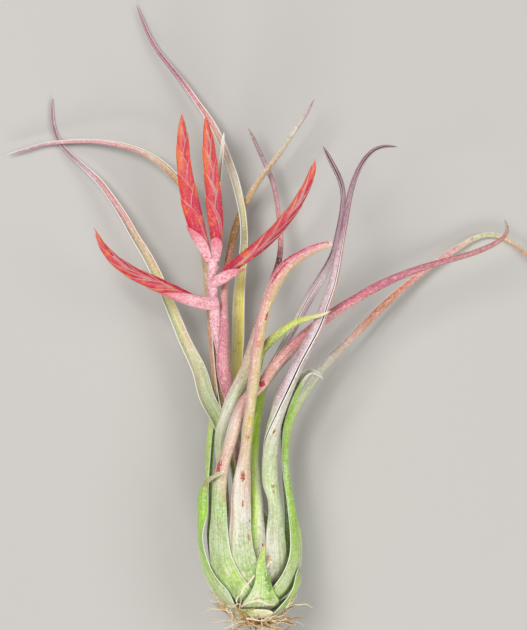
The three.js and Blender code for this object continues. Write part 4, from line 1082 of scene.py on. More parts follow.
# %% Tones of the leaves behind and at the right
BACK_TONES = {
    "arch_left_leaf": [
        (590, "soft_green"), (500, "lime", "fresh_green"), (440, "bright_lime/lime", "lime"),
        (400, "fresh_green/tan", "fresh_green"), (345, "tan/salmon", "tan"),
        (300, "straw/tan", "tan"), (250, "straw/tan"), (200, "ivory/straw", "straw/ochre"),
        (178, "ivory/ochre", "sand/ochre"), (158, "ivory/blush", "straw/sand"),
        (148, "ivory/rose", "sand/blush"), (143, "lilac/rose", "rose"), (None, "mauve", "lilac")],
    "tallest_back_leaf": [
        (590, "soft_green"), (440, "soft_green", "pale_green"),
        # The bright straws of the hollow side at rows 390 and 290 are painted light on a part
        # shaded by the leaves in front.
        (390, "straw", "bright_straw/pale_straw"), (290, "straw", "bright_straw/pale_straw"),
        (262, "silver_green", "straw/silver_green"), (240, "silver", "olive/silver"),
        (210, "silver", "straw/silver"), (180, "silver", "silver/blush"),
        (150, "sand", "blush/silver"), (122, "rose/ivory", "rose/blush"),
        (95, "pink/lilac", "pink/rose"), (55, "pink", "pink/rose"), (None, "mauve", "rose")],
    "small_left_leaf": [
        (590, "soft_green"), (380, "olive", "brown"), (300, "olive", "brown"), (200, "straw"),
        (165, "silver"), (150, "ivory"), (None, "ivory")],
    "long_right_leaf": [
        (590, "soft_green"), (470, "lime", "deep_green"), (430, "lime/pale_green", "deep_green"),
        (395, "silver_green", "olive"), (365, "silver/ivory", "sand"),
        (340, "blush/silver", "rose"), (315, "salmon/silver", "rose"),
        (290, "salmon/ivory", "rose"), (270, "rose/silver", "rose"), (255, "rose/cream", "salmon"),
        (245, "blush/cream", "salmon"), (237, "silver_green", "sand"), (None, "salmon", "straw")],
    "dry_right_leaf": [
        (592, "lime/pale_green", "tan"), (577, "pale_green/ivory", "tan"),
        (560, "lime/pale_green", "soft_green"), (535, "bright_lime/lime", "soft_green"),
        (500, "fresh_green/bright_lime", "deep_green"), (470, "fresh_green/lime", "deep_green"),
        (430, "bright_lime/pale_green", "dark_green"),
        (405, "bright_lime/pale_green", "deep_green"), (385, "lime/pale_green", "deep_green"),
        (376, "ivory"), (None, "ivory")],
    "wrapping_stalk_leaf": [
        (402, "pink/rose", "pink"), (345, "pink/rose", "pink"), (322, "pink/rose", "rose"),
        (295, "rose/blush", "rose"), (275, "salmon/blush", "salmon"),
        (262, "salmon/ochre", "brown"), (240, "ochre/brown", "brown"), (222, "ochre", "brown"),
        (195, "tan/straw", "olive"), (165, "sand", "tan"), (130, "silver", "tan"),
        (None, "mauve", "dust")],
}
print("tones given:", sum(len(stops) for stops in BACK_TONES.values()))

# %% Tones of the scales
SCALE_TONES = {
    "front_scale": [
        (612, "cream"), (602, "pale_green", "cream"), (590, "pale_green/lime", "lime"),
        (572, "lime/soft_green", "fresh_green"), (555, "lime", "fresh_green"),
        (None, "yellow_green", "lime")],
    "right_scale": [
        (612, "pale_green", "cream"), (600, "bright_lime/pale_green", "lime"),
        (580, "bright_lime/silver_green", "fresh_green"), (570, "fresh_green/olive", "deep_green"),
        (None, "brown")],
    "base_scale": [
        (618, "cream"), (606, "pale_green/cream", "cream"), (None, "lime/pale_green", "cream")],
    "back_scale": [
        (612, "cream"), (590, "pale_green", "soft_green"), (540, "lime", "soft_green"),
        (None, "straw", "soft_green")],
}
print("tones given:", sum(len(stops) for stops in SCALE_TONES.values()))
LEAF_TONES = {**FRONT_TONES, **MIDDLE_TONES, **BACK_TONES, **SCALE_TONES}

# %% What differs from leaf to leaf
# The hollow side of a roll is mixed towards a dark olive by each leaf's share: painted shade inside
# the gutter.
HOLLOW_PAINTED_SHADE_TONE, HOLLOW_SHADE = linear("#3f3a1c"), 0.3
HOLLOW_SHADES = {
    "long_left_leaf": 0.0, "small_left_leaf": 0.0, "tallest_back_leaf": 0.0,
    "long_right_leaf": 0.0, "arch_left_leaf": 0.05, "wrapping_stalk_leaf": 0.1,
    "dry_right_leaf": 0.1}
MARGIN_TONE, MARGIN_WIDTH = linear("#f0eee4"), 0.34
MARGIN_WIDTHS = {
    **dict.fromkeys(SCALES, 0.1),
    **dict.fromkeys(("tall_right_leaf", "channel_right_leaf", "long_left_leaf"), 0.22)}
PINKNESS = 0.6
PINKNESSES = {
    **dict.fromkeys([*SCALES, "dry_left_leaf", "dry_right_leaf", "short_green_leaf"], 0.0),
    "cut_front_leaf": 0.35, "channel_right_leaf": 0.3, "tallest_back_leaf": 0.1,
    "arch_left_leaf": 0.3, "long_left_leaf": 0.15}
GREEN_FLUSH, PINK_FLUSH = linear("#9bc46c"), linear("#e88c94")
GREENNESS, GREEN_FADES, PINK_RISES, FLUSH_TURNS = 0.48, (0.36, 0.16), (0.3, 0.55), (0.24, 0.36)
print("leaves that don't flush pink:", sum(v == 0 for v in PINKNESSES.values()))

# %% Blades that darken to mauve: from row, to row, share
MAUVE_TONE = linear("#b69ca6")
MAUVE_ENDS = {
    "tall_right_leaf": (275, 205, 0.75), "channel_right_leaf": (285, 235, 0.72),
    "tallest_back_leaf": (96, 70, 0.6), "long_left_leaf": (175, 150, 0.45),
    "pink_right_leaf": (325, 275, 0.5), "curved_centre_leaf": (230, 200, 0.35)}
print("blades with a mauve end:", len(MAUVE_ENDS))

# %% Flecks: column, row, length and width in pixels, tone
FLECKS = {
    "cut_front_leaf": [
        (233.4, 512, 84, 4.5, "blush"), (237.6, 510, 84, 3, "ivory"), (242.5, 474, 12, 5, "rust"),
        (243.5, 506, 7, 2.6, "rust"), (250, 520.5, 4, 2.4, "brown"), (249, 537, 8, 4, "ochre"),
        (250.5, 420, 14, 2.4, "gold"), (248, 440, 9, 3, "ochre"), (258, 345, 12, 3, "salmon"),
        (266, 318, 10, 2, "crimson"), (279, 271.5, 30, 1.8, "crimson"),
        (296, 253.5, 34, 1.8, "crimson"), (315, 244.5, 30, 1.8, "bright_pink"),
        (244, 578, 16, 7, "cream")],
    "pink_right_leaf": [
        (219, 465, 15, 5, "crimson"), (262, 383, 8, 5, "crimson"), (228, 572, 14, 6, "cream"),
        (214, 500, 26, 3, "soft_green")],
    "channel_right_leaf": [
        (262, 543, 4, 2.4, "rust")],
    "tall_right_leaf": [
        (275, 434.5, 6, 1.0, "rust"), (272, 484, 4, 4, "olive"), (273, 490, 4, 2.4, "olive"),
        (268, 557, 9, 8, "tan"), (276, 548, 16, 9, "ivory")],
    # The deep green flecks of front_scale, dry_left_leaf and dry_right_leaf are painted shade in
    # folds and under the edges of the leaves above.
    "front_scale": [
        (268, 584, 22, 10, "deep_green"), (270, 596, 13, 9, "fresh_green"),
        (256, 599, 12, 10, "cream")],
    "dry_left_leaf": [
        (207, 545, 5, 3.4, "deep_green"), (215, 575, 6, 4, "deep_green")],
    "dry_right_leaf": [
        (272, 588, 9, 7, "deep_green"), (286, 566, 5, 5, "tan")],
}
print("flecks:", sum(len(flecks) for flecks in FLECKS.values()))


# %% Where a fleck falls on its leaf
FRONT_FIRST, NEAR_ENOUGH = 0.3, 5
FLECK_LENGTH, FLECK_BREADTH = 0.5, 0.4


def picture_place(places):
    """The column and row at which places in millimetres are seen."""
    nearer = (EYE_HEIGHT - places[:, 2]) / (EYE_HEIGHT - BULB_MIDDLE)
    column = (places[:, 0] / MM_PER_PIXEL - EYE_COLUMN + CENTRE_COLUMN) / nearer + EYE_COLUMN
    row = EYE_ROW - (places[:, 1] / MM_PER_PIXEL + EYE_ROW - CENTRE_ROW) / nearer
    return column, row


def nearest_skin(name, column, row):
    """Where along and across a leaf its upper skin is seen at this column and row."""
    skin, along, across = leaf_skins[name]
    columns, rows = picture_place(skin)
    off = np.hypot(columns - column, rows - row)
    distance = off - FRONT_FIRST * (skin[:, 2] - skin[:, 2].min())
    near = off < NEAR_ENOUGH
    i = np.argmin(np.where(near, distance, np.inf)) if near.any() else np.argmin(distance)
    return float(along[i]), float(across[i])


def flecked(sheet, colour, name, along, across):
    """The leaf's colour with its flecks on it."""
    line = leaf_lines[name]
    for column, row, length, width, tone in FLECKS.get(name, []):
        at_along, at_across = nearest_skin(name, column, row)
        half_width = float(line.read(np.array([at_along]))[0, 3])
        colour = sheet.group(FLECK, {
            "Colour": colour, "Along": along, "Across": across,
            "At along": at_along, "At across": at_across,
            "Length": FLECK_LENGTH * length * MM_PER_PIXEL / line.length,
            "Breadth": FLECK_BREADTH * width * MM_PER_PIXEL / half_width,
            "Fleck colour": linear(TONES[tone])})["Colour"]
    return colour


first_fleck = nearest_skin("pink_right_leaf", *FLECKS["pink_right_leaf"][0][:2])
print("first fleck of pink_right_leaf, along and across:", np.round(first_fleck, 2))

# %% A leaf's finish
LEAF_SURFACE = {"Sheen Weight": 0.42, "Sheen Roughness": 0.3, "Specular IOR Level": 0.35}
LEAF_SCALES, LEAF_STREAKS = 0.53, 0.36
LEAF_SMOOTHEST, LEAF_ROUGHEST = 0.5, 0.75
LEAF_RELIEF, RELIEF_STRENGTH = 0.12, 0.35
SIDES_MEET = (-0.7, 0.7)
SEED_STEP = 3.0


def two_tones(sheet, along, leaned, name, face):
    """The ramp for one face, mixed from the tones at the two margins."""
    line, ramps = leaf_lines[name], []
    for margin in (0, -1):
        ramps.append(sheet.ramp(along, [
            (1.0 if row is None else line.share_at_row(row), faces[face].split("/")[margin])
            for row, *faces in LEAF_TONES[name]]))
    return sheet.mix(leaned, *ramps)


def face_tones(sheet, name, along, across):
    """The tones of the outer face, and those of the hollow side on that side, darkened there as
    painted shade inside the roll.
    """
    leaned = sheet.rise(across, *SIDES_MEET)
    outer = two_tones(sheet, along, leaned, name, 0)
    # Painted shade: the hollow side's tones are mixed towards a dark olive.
    hollow = sheet.mix(HOLLOW_SHADES.get(name, HOLLOW_SHADE),
                       two_tones(sheet, along, leaned, name, -1), HOLLOW_PAINTED_SHADE_TONE)
    return sheet.mix(sheet.attribute("inside"), outer, hollow)


def flush(sheet, name, along):
    """How far a leaf is flushed at each place, and with what: green low down, pink above."""
    pinkness = PINKNESSES.get(name, PINKNESS)
    if not pinkness:
        return GREENNESS, GREEN_FLUSH
    green = sheet.times(sheet.rise(along, *GREEN_FADES), GREENNESS)
    pink = sheet.times(sheet.rise(along, *PINK_RISES), pinkness)
    tone = sheet.mix(sheet.rise(along, *FLUSH_TURNS), GREEN_FLUSH, PINK_FLUSH)
    return sheet.plus(green, pink), tone


def leaf_finish(name, seed):
    """The material of one leaf: its tones, flecks, scales, margins and mauve end."""
    material, sheet, shader = new_skin(name, LEAF_SURFACE)
    along, across = sheet.attribute("along"), sheet.attribute("across")
    colour = flecked(sheet, face_tones(sheet, name, along, across), name, along, across)
    flushed, flush_tone = flush(sheet, name, along)
    scaled = sheet.group(SILVERY_SCALES, {
        "Colour": colour, "Amount": LEAF_SCALES, "Streaks": LEAF_STREAKS, "Flush": flushed,
        "Flush colour": flush_tone, "Across": across, "Ripple": sheet.attribute("ripple"),
        "Seed": seed})
    colour = sheet.group(PALE_MARGIN, {
        "Colour": scaled["Colour"], "Edge": sheet.attribute("edge"),
        "Width": MARGIN_WIDTHS.get(name, MARGIN_WIDTH), "Margin colour": MARGIN_TONE})["Colour"]
    if name in MAUVE_ENDS:
        low, high, share = MAUVE_ENDS[name]
        line = leaf_lines[name]
        shade = sheet.rise(along, line.share_at_row(low), line.share_at_row(high))
        colour = sheet.dimmed(sheet.times(shade, share), colour, MAUVE_TONE)
    sheet.feed(shader["Base Color"], colour)
    add_roughness(sheet, shader, scaled["Height"], LEAF_SMOOTHEST, LEAF_ROUGHEST)
    add_relief(sheet, shader, scaled["Height"], LEAF_RELIEF, RELIEF_STRENGTH)
    return material


for number, name in enumerate(LEAVES):
    bpy.data.objects[name].data.materials.append(leaf_finish(name, SEED_STEP * number))
print("leaf finishes:", len(LEAVES))

# %% [markdown]
# ## What the bracts are like
#
# A bract is crimson where it comes out from under the one below, partly its own colour and partly
# painted shade under that bract's edge. It turns coral and orange to its tip, and has a thin pink
# margin. The lowest bract of each spike and those of the stalk are pale pink, because scurf covers
# them. The whole spike gets more orange going up. One group mixes all of this from four numbers
# that each point keeps, so the spikes and the stalk share it.

# %% The skin of bracts and stalk
SPIKE_RAMP = [(0.1, "bract_crimson"), (0.36, "scarlet"), (0.58, "coral"), (0.78, "orange"),
              (0.95, "coral"), (1.0, "salmon")]
PATCH_CLIMB, TINT_CLIMB = 0.25, 0.8
FIBRES_ACROSS, FIBRES_ALONG, FIBRES_APART = 4.0, 1.2, 9.0
FOOT_FIBRE, FOOT_KEEL, BESIDE_FIBRE = 0.5, 0.25, 0.4
REDDENED_TONE = linear("#d9506c")
PALE_TINT = (0.12, 0.02)


def bract_colour(sheet, given):
    """A red bract: a ramp up the spike, stained at its foot, its tip, its fibres and margins. The
    crimson at its foot is partly its own colour and partly painted shade under the edge of the
    bract below.
    """
    patches = sheet.minus(sheet.grain(0.2), 0.5)
    climb = sheet.plus(given["Up"], sheet.times(patches, PATCH_CLIMB))
    climb = sheet.plus(climb, sheet.times(sheet.minus(0.5, given["Tint"]), TINT_CLIMB))
    fibres = sheet.put("ShaderNodeCombineXYZ", {
        "X": sheet.times(given["Across"], FIBRES_ACROSS),
        "Y": sheet.times(given["Along"], FIBRES_ALONG),
        "Z": sheet.plus(given["Seed"], sheet.times(given["Tint"], FIBRES_APART))})
    fibre = sheet.noise(fibres.outputs["Vector"], 1.5, detail=4.0, rough=0.6)
    blush = sheet.grain(0.24)
    keel = sheet.math("ABSOLUTE", given["Across"])
    foot = sheet.plus(given["Along"], sheet.times(fibre, FOOT_FIBRE))
    foot = sheet.minus(foot, sheet.times(keel, FOOT_KEEL))
    beside = sheet.minus(keel, sheet.times(fibre, BESIDE_FIBRE))
    stains = [
        # The crimson at the foot is partly the bract's own colour and partly painted shade under
        # the edge of the bract below.
        (sheet.rise(foot, 0.98, 0.5), 0.95, "bract_crimson"),
        (sheet.rise(foot, 1.0, 1.3), 0.8, "orange"),
        (sheet.rise(fibre, 0.54, 0.68), 0.45, "bright_pink"),
        (sheet.rise(blush, 0.54, 0.62), 0.6, "orange"),
        (sheet.times(sheet.rise(beside, 0.2, 0.5), sheet.rise(given["Tint"], 0.25, 0.85)), 0.85,
         "bract_crimson"),
        (sheet.times(sheet.rise(keel, 0.66, 0.8), sheet.rise(fibre, 0.42, 0.6)), 0.6, "dust")]
    colour = sheet.ramp(climb, SPIKE_RAMP)
    for mask, share, tone in stains:
        colour = sheet.mix(sheet.times(mask, share), colour, linear(TONES[tone]))
    return colour


def pale_bract_colour(sheet, given):
    """A pale bract under scurf: mottled with red, and redder to its tip on a spike."""
    mottled = sheet.rise(sheet.grain(1.1, detail=4.0, rough=0.75), 0.44, 0.64)
    pale = sheet.mix(sheet.times(mottled, 0.72), linear(TONES["pale_pink"]),
                     linear(TONES["bract_red"]))
    reddened = sheet.times(sheet.rise(given["Tint"], 0.01, 0.03),
                           sheet.rise(given["Along"], 0.35, 0.95))
    return sheet.mix(sheet.times(reddened, 0.7), pale, REDDENED_TONE)


def bract_tones():
    """The colours of a spike by how far up it a point is and where on its bract."""
    group, sheet, given, gives = node_group(
        "bract_tones", gives={"colour": ["Colour"]},
        number=["Up", "Along", "Across", "Tint", "Seed"])
    sheet.feed(gives["Colour"], sheet.mix(
        sheet.rise(given["Tint"], *PALE_TINT), bract_colour(sheet, given),
        pale_bract_colour(sheet, given)))
    return group


BRACT_TONES = bract_tones()
print("group made:", BRACT_TONES.name)

# %% A spike's finish
BRACT_SURFACE = {"Sheen Weight": 0.14, "Sheen Roughness": 0.4, "Coat Weight": 0.06}
BRACT_STREAKS, BRACT_FLUSH, BRACT_MARGIN = 0.35, 0.2, 0.12
BRACT_MARGIN_TONE, PALE_BRACT_MARGIN_TONE = linear("#df9a94"), linear("#d35c76")
BRACT_SMOOTHEST, BRACT_ROUGHEST = 0.4, 0.65
BRACT_RELIEF = 0.1
SPIKE_RIPPLE = 40.0


def bract_finish(name, seed, scurf):
    """The material of a spike or of the stalk. Pale bracts have redder margins."""
    material, sheet, shader = new_skin(name, BRACT_SURFACE)
    places = {label: sheet.attribute(label.lower()) for label in ("Up", "Along", "Across", "Tint")}
    tones = sheet.group(BRACT_TONES, {**places, "Seed": seed})
    scaled = sheet.group(SILVERY_SCALES, {
        "Colour": tones["Colour"], "Amount": scurf, "Streaks": BRACT_STREAKS,
        "Flush": BRACT_FLUSH, "Flush colour": PINK_FLUSH, "Across": places["Across"],
        "Ripple": sheet.times(places["Up"], SPIKE_RIPPLE), "Seed": seed})
    margin = sheet.mix(sheet.rise(places["Tint"], *PALE_TINT), BRACT_MARGIN_TONE,
                       PALE_BRACT_MARGIN_TONE)
    edged = sheet.group(PALE_MARGIN, {
        "Colour": scaled["Colour"], "Edge": sheet.attribute("edge"), "Width": BRACT_MARGIN,
        "Margin colour": margin})
    sheet.feed(shader["Base Color"], edged["Colour"])
    add_roughness(sheet, shader, scaled["Height"], BRACT_SMOOTHEST, BRACT_ROUGHEST)
    add_relief(sheet, shader, scaled["Height"], BRACT_RELIEF, RELIEF_STRENGTH)
    return material


# %% [markdown]
# ## Stalk and flower spikes
#
# The flower spikes are flat, and each is made of two ranks of boat-shaped bracts that overlap
# like roof tiles. A bract starts as a flat strip too: it is wrapped round the spike, far round
# at its foot and closing to its keel at the tip, so its margins run slantwise over the face.
# The stalk is a tube with a few such bracts of its own. Under the bracts of a spike is a slimmer
# core, so that no gap between two bracts looks through the spike.

# %% Spike and stalk lines: column, row, height and width in pixels
SPIKES = {
    "left_spike": {
        "node": "spike_left", "first_side": 170, "first_length": 0.27, "turn": 22,
        "rows": [
            (209.8, 261.2, 27, 7), (205, 248, 28, 12), (198.5, 230, 28.6, 17),
            (192.5, 210, 29, 17.5), (188, 190, 29.2, 16), (184.5, 170, 29.2, 13.5),
            (183, 150, 29, 12), (182.6, 130, 28.8, 8), (182.2, 112, 28.5, 1.4)],
    },
    "middle_spike": {
        "node": "spike_middle", "first_side": 95, "first_length": 0.17, "turn": 18,
        "rows": [
            (215.8, 261.6, 27.2, 7), (216.5, 245, 28.8, 11), (216.5, 230, 29.2, 14.5),
            (215, 210, 29.4, 15), (213, 190, 29.4, 14), (211, 170, 29.2, 13),
            (209, 150, 29, 11.5), (207.5, 130, 28.7, 7), (206, 113, 28.4, 1.4)],
    },
    "low_left_spike": {
        "node": "spike_low_left", "first_side": 175, "first_length": 0.38, "turn": -15,
        "rows": [
            (206.7, 303.8, 26.4, 9), (198, 301.5, 27.6, 11), (186, 296.5, 29.4, 12.5),
            (170, 289.5, 31, 13), (153, 282.5, 32.2, 12.5), (135, 274, 33, 11),
            (118, 263, 33.5, 9.5), (105, 249.5, 33.8, 7), (94, 228, 34, 1.4)],
        "foot": [
            (217.6, 303, 26.6, 12), (212, 303.4, 27.6, 13.5), (205, 302.6, 28, 13.5),
            (196, 300.4, 28.6, 13), (184, 295.8, 29.6, 13.4), (171, 290, 31, 13.4),
            (161, 285.4, 31.8, 12.8)],
    },
    "right_spike": {
        "node": "spike_right", "first_side": 10, "first_length": 0.2, "turn": -12,
        "rows": [
            (218.9, 277, 27, 7), (230, 268.5, 28.8, 11), (245, 257.5, 30.8, 12),
            (260, 246, 32.6, 11.5), (275, 231.5, 34.2, 10.5), (288, 216.5, 35.6, 9.5),
            (299, 200.5, 36.6, 8.5), (308, 183, 37.4, 7), (313, 170, 37.8, 5.5),
            (315, 158, 38, 1.2)],
        "foot": [
            (210.5, 284, 27.2, 9), (217, 280.6, 28, 11), (226, 274.6, 28.8, 11.5),
            (234, 268.8, 29.6, 11.5), (242, 263, 30.4, 11)],
    },
}
STALK = [
    (252.2, 576.8, 22, 9), (249, 560, 22, 9.5), (246, 530, 22.2, 9.5), (243, 500, 22.4, 9),
    (240, 475, 22.6, 8.5), (236.5, 450, 22.9, 8), (233, 430, 23, 7.6), (229.2, 408, 23.2, 7.2),
    (225.4, 387, 23.4, 7.2), (222, 364, 23.8, 7.2), (218.6, 345, 24.2, 7.6),
    (215.8, 325, 24.8, 9), (213.6, 308, 25.4, 10.5), (212.8, 290, 25.7, 9.5),
    (212.3, 272, 26, 9.5), (212.8, 264.5, 26.2, 10.6), (213, 259.5, 26.4, 9.4),
    (213.1, 256.6, 26.5, 6.4), (213.2, 255.4, 26.6, 1.6)]
# What a rod's station holds after its half-width: no curl, no wall, and facing up.
ROD = [90, 1, 0]


def round_line(rows):
    """A line for a round or flat rod, from rows of column, row, height and width."""
    return Line([[*seen(column, row, height), width * MM_PER_PIXEL / 2, *ROD]
                 for column, row, height, width in rows])


print("spikes:", len(SPIKES), "and stations of the stalk:", len(STALK))


# %% A rod that follows a line
NO_MARGIN = 9.0
FEWEST_RINGS = 3


def ringed_cylinder(name, sides, rings):
    """A cylinder from 0 to 1 on Z, cut into rings, and its points with their share on Z."""
    deselect_all()
    bpy.ops.mesh.primitive_cylinder_add(vertices=sides, radius=1, depth=1,
                                        location=(0, 0, 0.5), end_fill_type="TRIFAN")
    piece = bpy.context.object
    piece.name = name
    bpy.ops.object.mode_set(mode="EDIT")
    for k in range(1, rings):
        bpy.ops.mesh.select_all(action="SELECT")
        bpy.ops.mesh.bisect(plane_co=(0, 0, k / rings), plane_no=(0, 0, 1))
    bpy.ops.object.mode_set(mode="OBJECT")
    return piece, points_of(piece) + (0, 0, 0.5)


def rod(name, line, sides, step, thick=1.0, flat=1.0):
    """A cylinder with a ring at each step, laid along the line."""
    rings = max(FEWEST_RINGS, round(line.length / step))
    piece, round_places = ringed_cylinder(name, sides, rings)
    x, y, up = round_places.T
    p, w, _, _, _, out, side = line.frames(up)
    w = w * thick
    place_points(piece, p + out * (w * flat * y)[:, None] + side * (w * x)[:, None])
    give_attributes(piece, along=up, up=up, across=0.5 * np.sin(np.arctan2(y, x)),
                    edge=NO_MARGIN, tint=0)
    bpy.ops.object.mode_set(mode="EDIT")
    bpy.ops.mesh.select_all(action="SELECT")
    bpy.ops.mesh.normals_make_consistent(inside=False)
    bpy.ops.object.mode_set(mode="OBJECT")
    bpy.ops.object.shade_smooth()
    return piece


# %% A bract wrapped round a line
BRACT_ACROSS, BRACT_ALONG = 12, 14
BRACT_WALL = 0.22
NARROWING, ROUNDING = 2.2, 0.75
LIFT_FOOT, LIFT_TIP = 0.1, 0.3
KEEL_HEIGHT, KEEL_BREADTH, KEEL_FOOT, KEEL_TIP = 0.28, 0.2, 0.3, 0.7
SMALLEST = 0.15


def bract(name, line, start, length, keel, flat, spread, tint, fit=0.8, swell=0.22):
    """A boat-shaped bract on a spike or stalk, from a start share over a length share. Its keel
    looks to an angle: 0 is across to the right, 90 is out, 180 to the left."""
    strip = flat_strip(name, BRACT_ACROSS, BRACT_ALONG)
    across, u = strip_places(strip)
    p, w, _, _, _, out, side = line.frames(np.clip(start + u * length, 0, 1))
    narrowing = (1 - u**NARROWING) ** ROUNDING
    angle = np.radians(keel + across * spread * narrowing)
    small = np.clip(w / 2, SMALLEST, 1)
    lift = (LIFT_FOOT + LIFT_TIP * u) * small
    on_keel = np.exp(-((across / KEEL_BREADTH) ** 2))
    ridge = KEEL_HEIGHT * on_keel * (KEEL_FOOT + KEEL_TIP * u) * small
    wide = w * (fit + swell * u) + lift + ridge
    deep = w * flat * (fit + swell * u) + lift + ridge
    place_points(strip, p + side * (wide * np.cos(angle))[:, None]
                 + out * (deep * np.sin(angle))[:, None])
    middle = strip.data.polygons[len(strip.data.polygons) // 2]
    outwards = np.array(middle.center) / MM - p[middle.vertices[0]]
    if np.dot(np.array(middle.normal), outwards) < 0:
        strip.data.flip_normals()
    give_attributes(strip, along=u, across=across, tint=tint, up=start + u * length,
                    edge=(1 - np.abs(across)) * w * np.radians(spread) * narrowing)
    apply_modifier(strip, "SOLIDIFY", thickness=BRACT_WALL * MM, offset=-1)
    apply_modifier(strip, "SUBSURF", levels=1, render_levels=1)
    bpy.ops.object.shade_smooth()
    return strip


def joined(name, pieces):
    """Joins pieces into the first of them."""
    deselect_all()
    for piece in pieces:
        piece.select_set(True)
    bpy.context.view_layer.objects.active = pieces[0]
    bpy.ops.object.join()
    pieces[0].name = name
    pieces[0].data.name = name
    return pieces[0]


# %% [markdown]
# ## Two ranks of bracts
#
# On a flat spike the bracts come from the left and the right edge by turns, and each covers the
# foot of the next one up. An array modifier would repeat one bract, but these differ in width
# and tint, so a loop makes them. Two small bracts close the tip, and a pale one wraps the foot.

# %% The four spikes
BRACTS, BRACT_SHARE, TIP_SHARE = 7, 0.42, 0.24
LOWEST_START, TIP_FREE = 0.03, 0.04
SPIKE_FLATNESS, CUFF_FLATNESS = 0.55, 0.8
LEFT_SPREAD, RIGHT_SPREAD, TIP_SPREAD, FIRST_SPREAD, CUFF_SPREAD = 150, 105, 110, 130, 150
LEFT_TINT, RIGHT_TINT, TINT_SPREAD, TIP_TINT, PALE_FIRST_TINT = 0.36, 0.66, 0.2, 0.6, 0.04
CORE_SIDES, CORE_STEP, CORE_THICKNESS = 12, 2.5, 0.72
SPIKE_SCURF, SPIKE_SEED_STEP = 0.13, 2.0
tints = np.random.default_rng(7)


def ranked_bracts(name, line, turn):
    """Bracts to the left and right by turns, from the foot of a spike up."""
    last_start = 1 - BRACT_SHARE - TIP_FREE
    for i in range(BRACTS):
        start = LOWEST_START + (last_start - LOWEST_START) * i / (BRACTS - 1)
        left = i % 2 == 0
        yield bract(f"{name}_bract_{i}", line, start, BRACT_SHARE, 180 - turn if left else turn,
                    SPIKE_FLATNESS, spread=LEFT_SPREAD if left else RIGHT_SPREAD,
                    tint=(LEFT_TINT if left else RIGHT_TINT) + TINT_SPREAD * tints.random())


def tip_bracts(name, line, turn):
    """Two bracts that close the tip, front and back."""
    for keel in (90 + turn, 270):
        yield bract(f"{name}_tip_{keel}", line, 1 - TIP_SHARE, TIP_SHARE, keel, SPIKE_FLATNESS,
                    spread=TIP_SPREAD, fit=0.85, swell=0.1, tint=TIP_TINT)


def first_bract(name, line, spike):
    """The pale lowest bract. Where the spike has a foot, it follows that, rounder and wider."""
    label, look = f"{name}_first_bract", dict(fit=1.0, swell=0.05, tint=PALE_FIRST_TINT)
    if "foot" in spike:
        return bract(label, round_line(spike["foot"]), 0, 1, spike["first_side"],
                     CUFF_FLATNESS, spread=CUFF_SPREAD, **look)
    return bract(label, line, 0, spike["first_length"], spike["first_side"], SPIKE_FLATNESS,
                 spread=FIRST_SPREAD, **look)


for number, (name, spike) in enumerate(SPIKES.items()):
    line = round_line(spike["rows"])
    core = rod(name, line, CORE_SIDES, CORE_STEP, thick=CORE_THICKNESS, flat=SPIKE_FLATNESS)
    piece = joined(name, [core, *ranked_bracts(name, line, spike["turn"]),
                          *tip_bracts(name, line, spike["turn"]), first_bract(name, line, spike)])
    piece.data.materials.append(bract_finish(name, SPIKE_SEED_STEP * number, SPIKE_SCURF))
    finish_piece(piece, [spike["node"]], "bract_red")
    print(name, "faces:", len(piece.data.polygons))

# %% The stalk and its own bracts: base row, rows long, the angle its keel looks to
STALK_BRACTS = [(352, 34, 150), (330, 30, 30), (308, 26, 200), (296, 22, 80), (282, 16, 10)]
STALK_SIDES, STALK_STEP, STALK_SPREAD = 20, 2, 170
STALK_SCURF, STALK_SEED = 0.55, 11.0

stalk_line = round_line(STALK)
stalk_parts = [rod("stalk", stalk_line, STALK_SIDES, STALK_STEP)]
for base_row, rows_long, keel in STALK_BRACTS:
    start = stalk_line.share_at_row(base_row)
    length = stalk_line.share_at_row(base_row - rows_long) - start
    stalk_parts.append(bract(f"stalk_bract_{base_row}", stalk_line, start, length, keel, 1.0,
                             spread=STALK_SPREAD, fit=1.0, swell=0.03, tint=0))
stalk = joined("stalk", stalk_parts)
stalk.data.materials.append(bract_finish("stalk", STALK_SEED, STALK_SCURF))
finish_piece(stalk, ["flower_stalk"], "stalk_pink")
print("stalk faces:", len(stalk.data.polygons))

# %% [markdown]
# ## The stem
#
# The stem is a blunt fleshy core, ringed by the scars of old leaves. Hardly any of it shows, so
# a rod is enough, and a wave along it draws its points in for the scars.

# %% The stem
STEM_LENGTH, STEM_SIDES, STEM_STEP = 16, 32, 0.5
STEM_RINGS = [(0, 0.3), (0.02, 0.78), (0.07, 0.96), (0.2, 1.0), (0.5, 1.0), (0.8, 0.97),
              (0.93, 0.93), (0.98, 0.72), (1.0, 0.3)]
STEM_SCARS, SCAR_DEPTH = 11, 0.06

stem_line = Line([[*axis_point(share * STEM_LENGTH),
                   (STEM_RADIUS - STEM_TAPER * share * STEM_LENGTH) * wide, *ROD]
                  for share, wide in STEM_RINGS])
stem = rod("stem", stem_line, STEM_SIDES, STEM_STEP)
up = np.array([a.value for a in stem.data.attributes["along"].data])
middle = stem_line.read(up)[:, :3]
scarred = 1 - SCAR_DEPTH * (0.5 + 0.5 * np.cos(up * STEM_SCARS * 2 * math.pi))[:, None]
place_points(stem, middle + (points_of(stem) / MM - middle) * scarred)
print("stem faces:", len(stem.data.polygons))

# %% [markdown]
# ## The skin of stem and roots
#
# Roots are dry and fibrous: some strands are bleached, some brown, and each has a fine grain.
# Every strand keeps a tint of its own, so one material with a ramp colours them all, and the
# stem takes the same material in fleshy tones.

# %% The skin of stem and roots
FIBRE_TONE = linear("#a08a68")
TONE_PLACES = (0.2, 0.6, 1.0)
PATCH_SHARE, GRAIN_SHARE, GRAIN_SHOWS = 0.5, 0.5, (0.45, 0.7)
ROOT_RELIEF, ROOT_RELIEF_STRENGTH = 0.15, 0.5


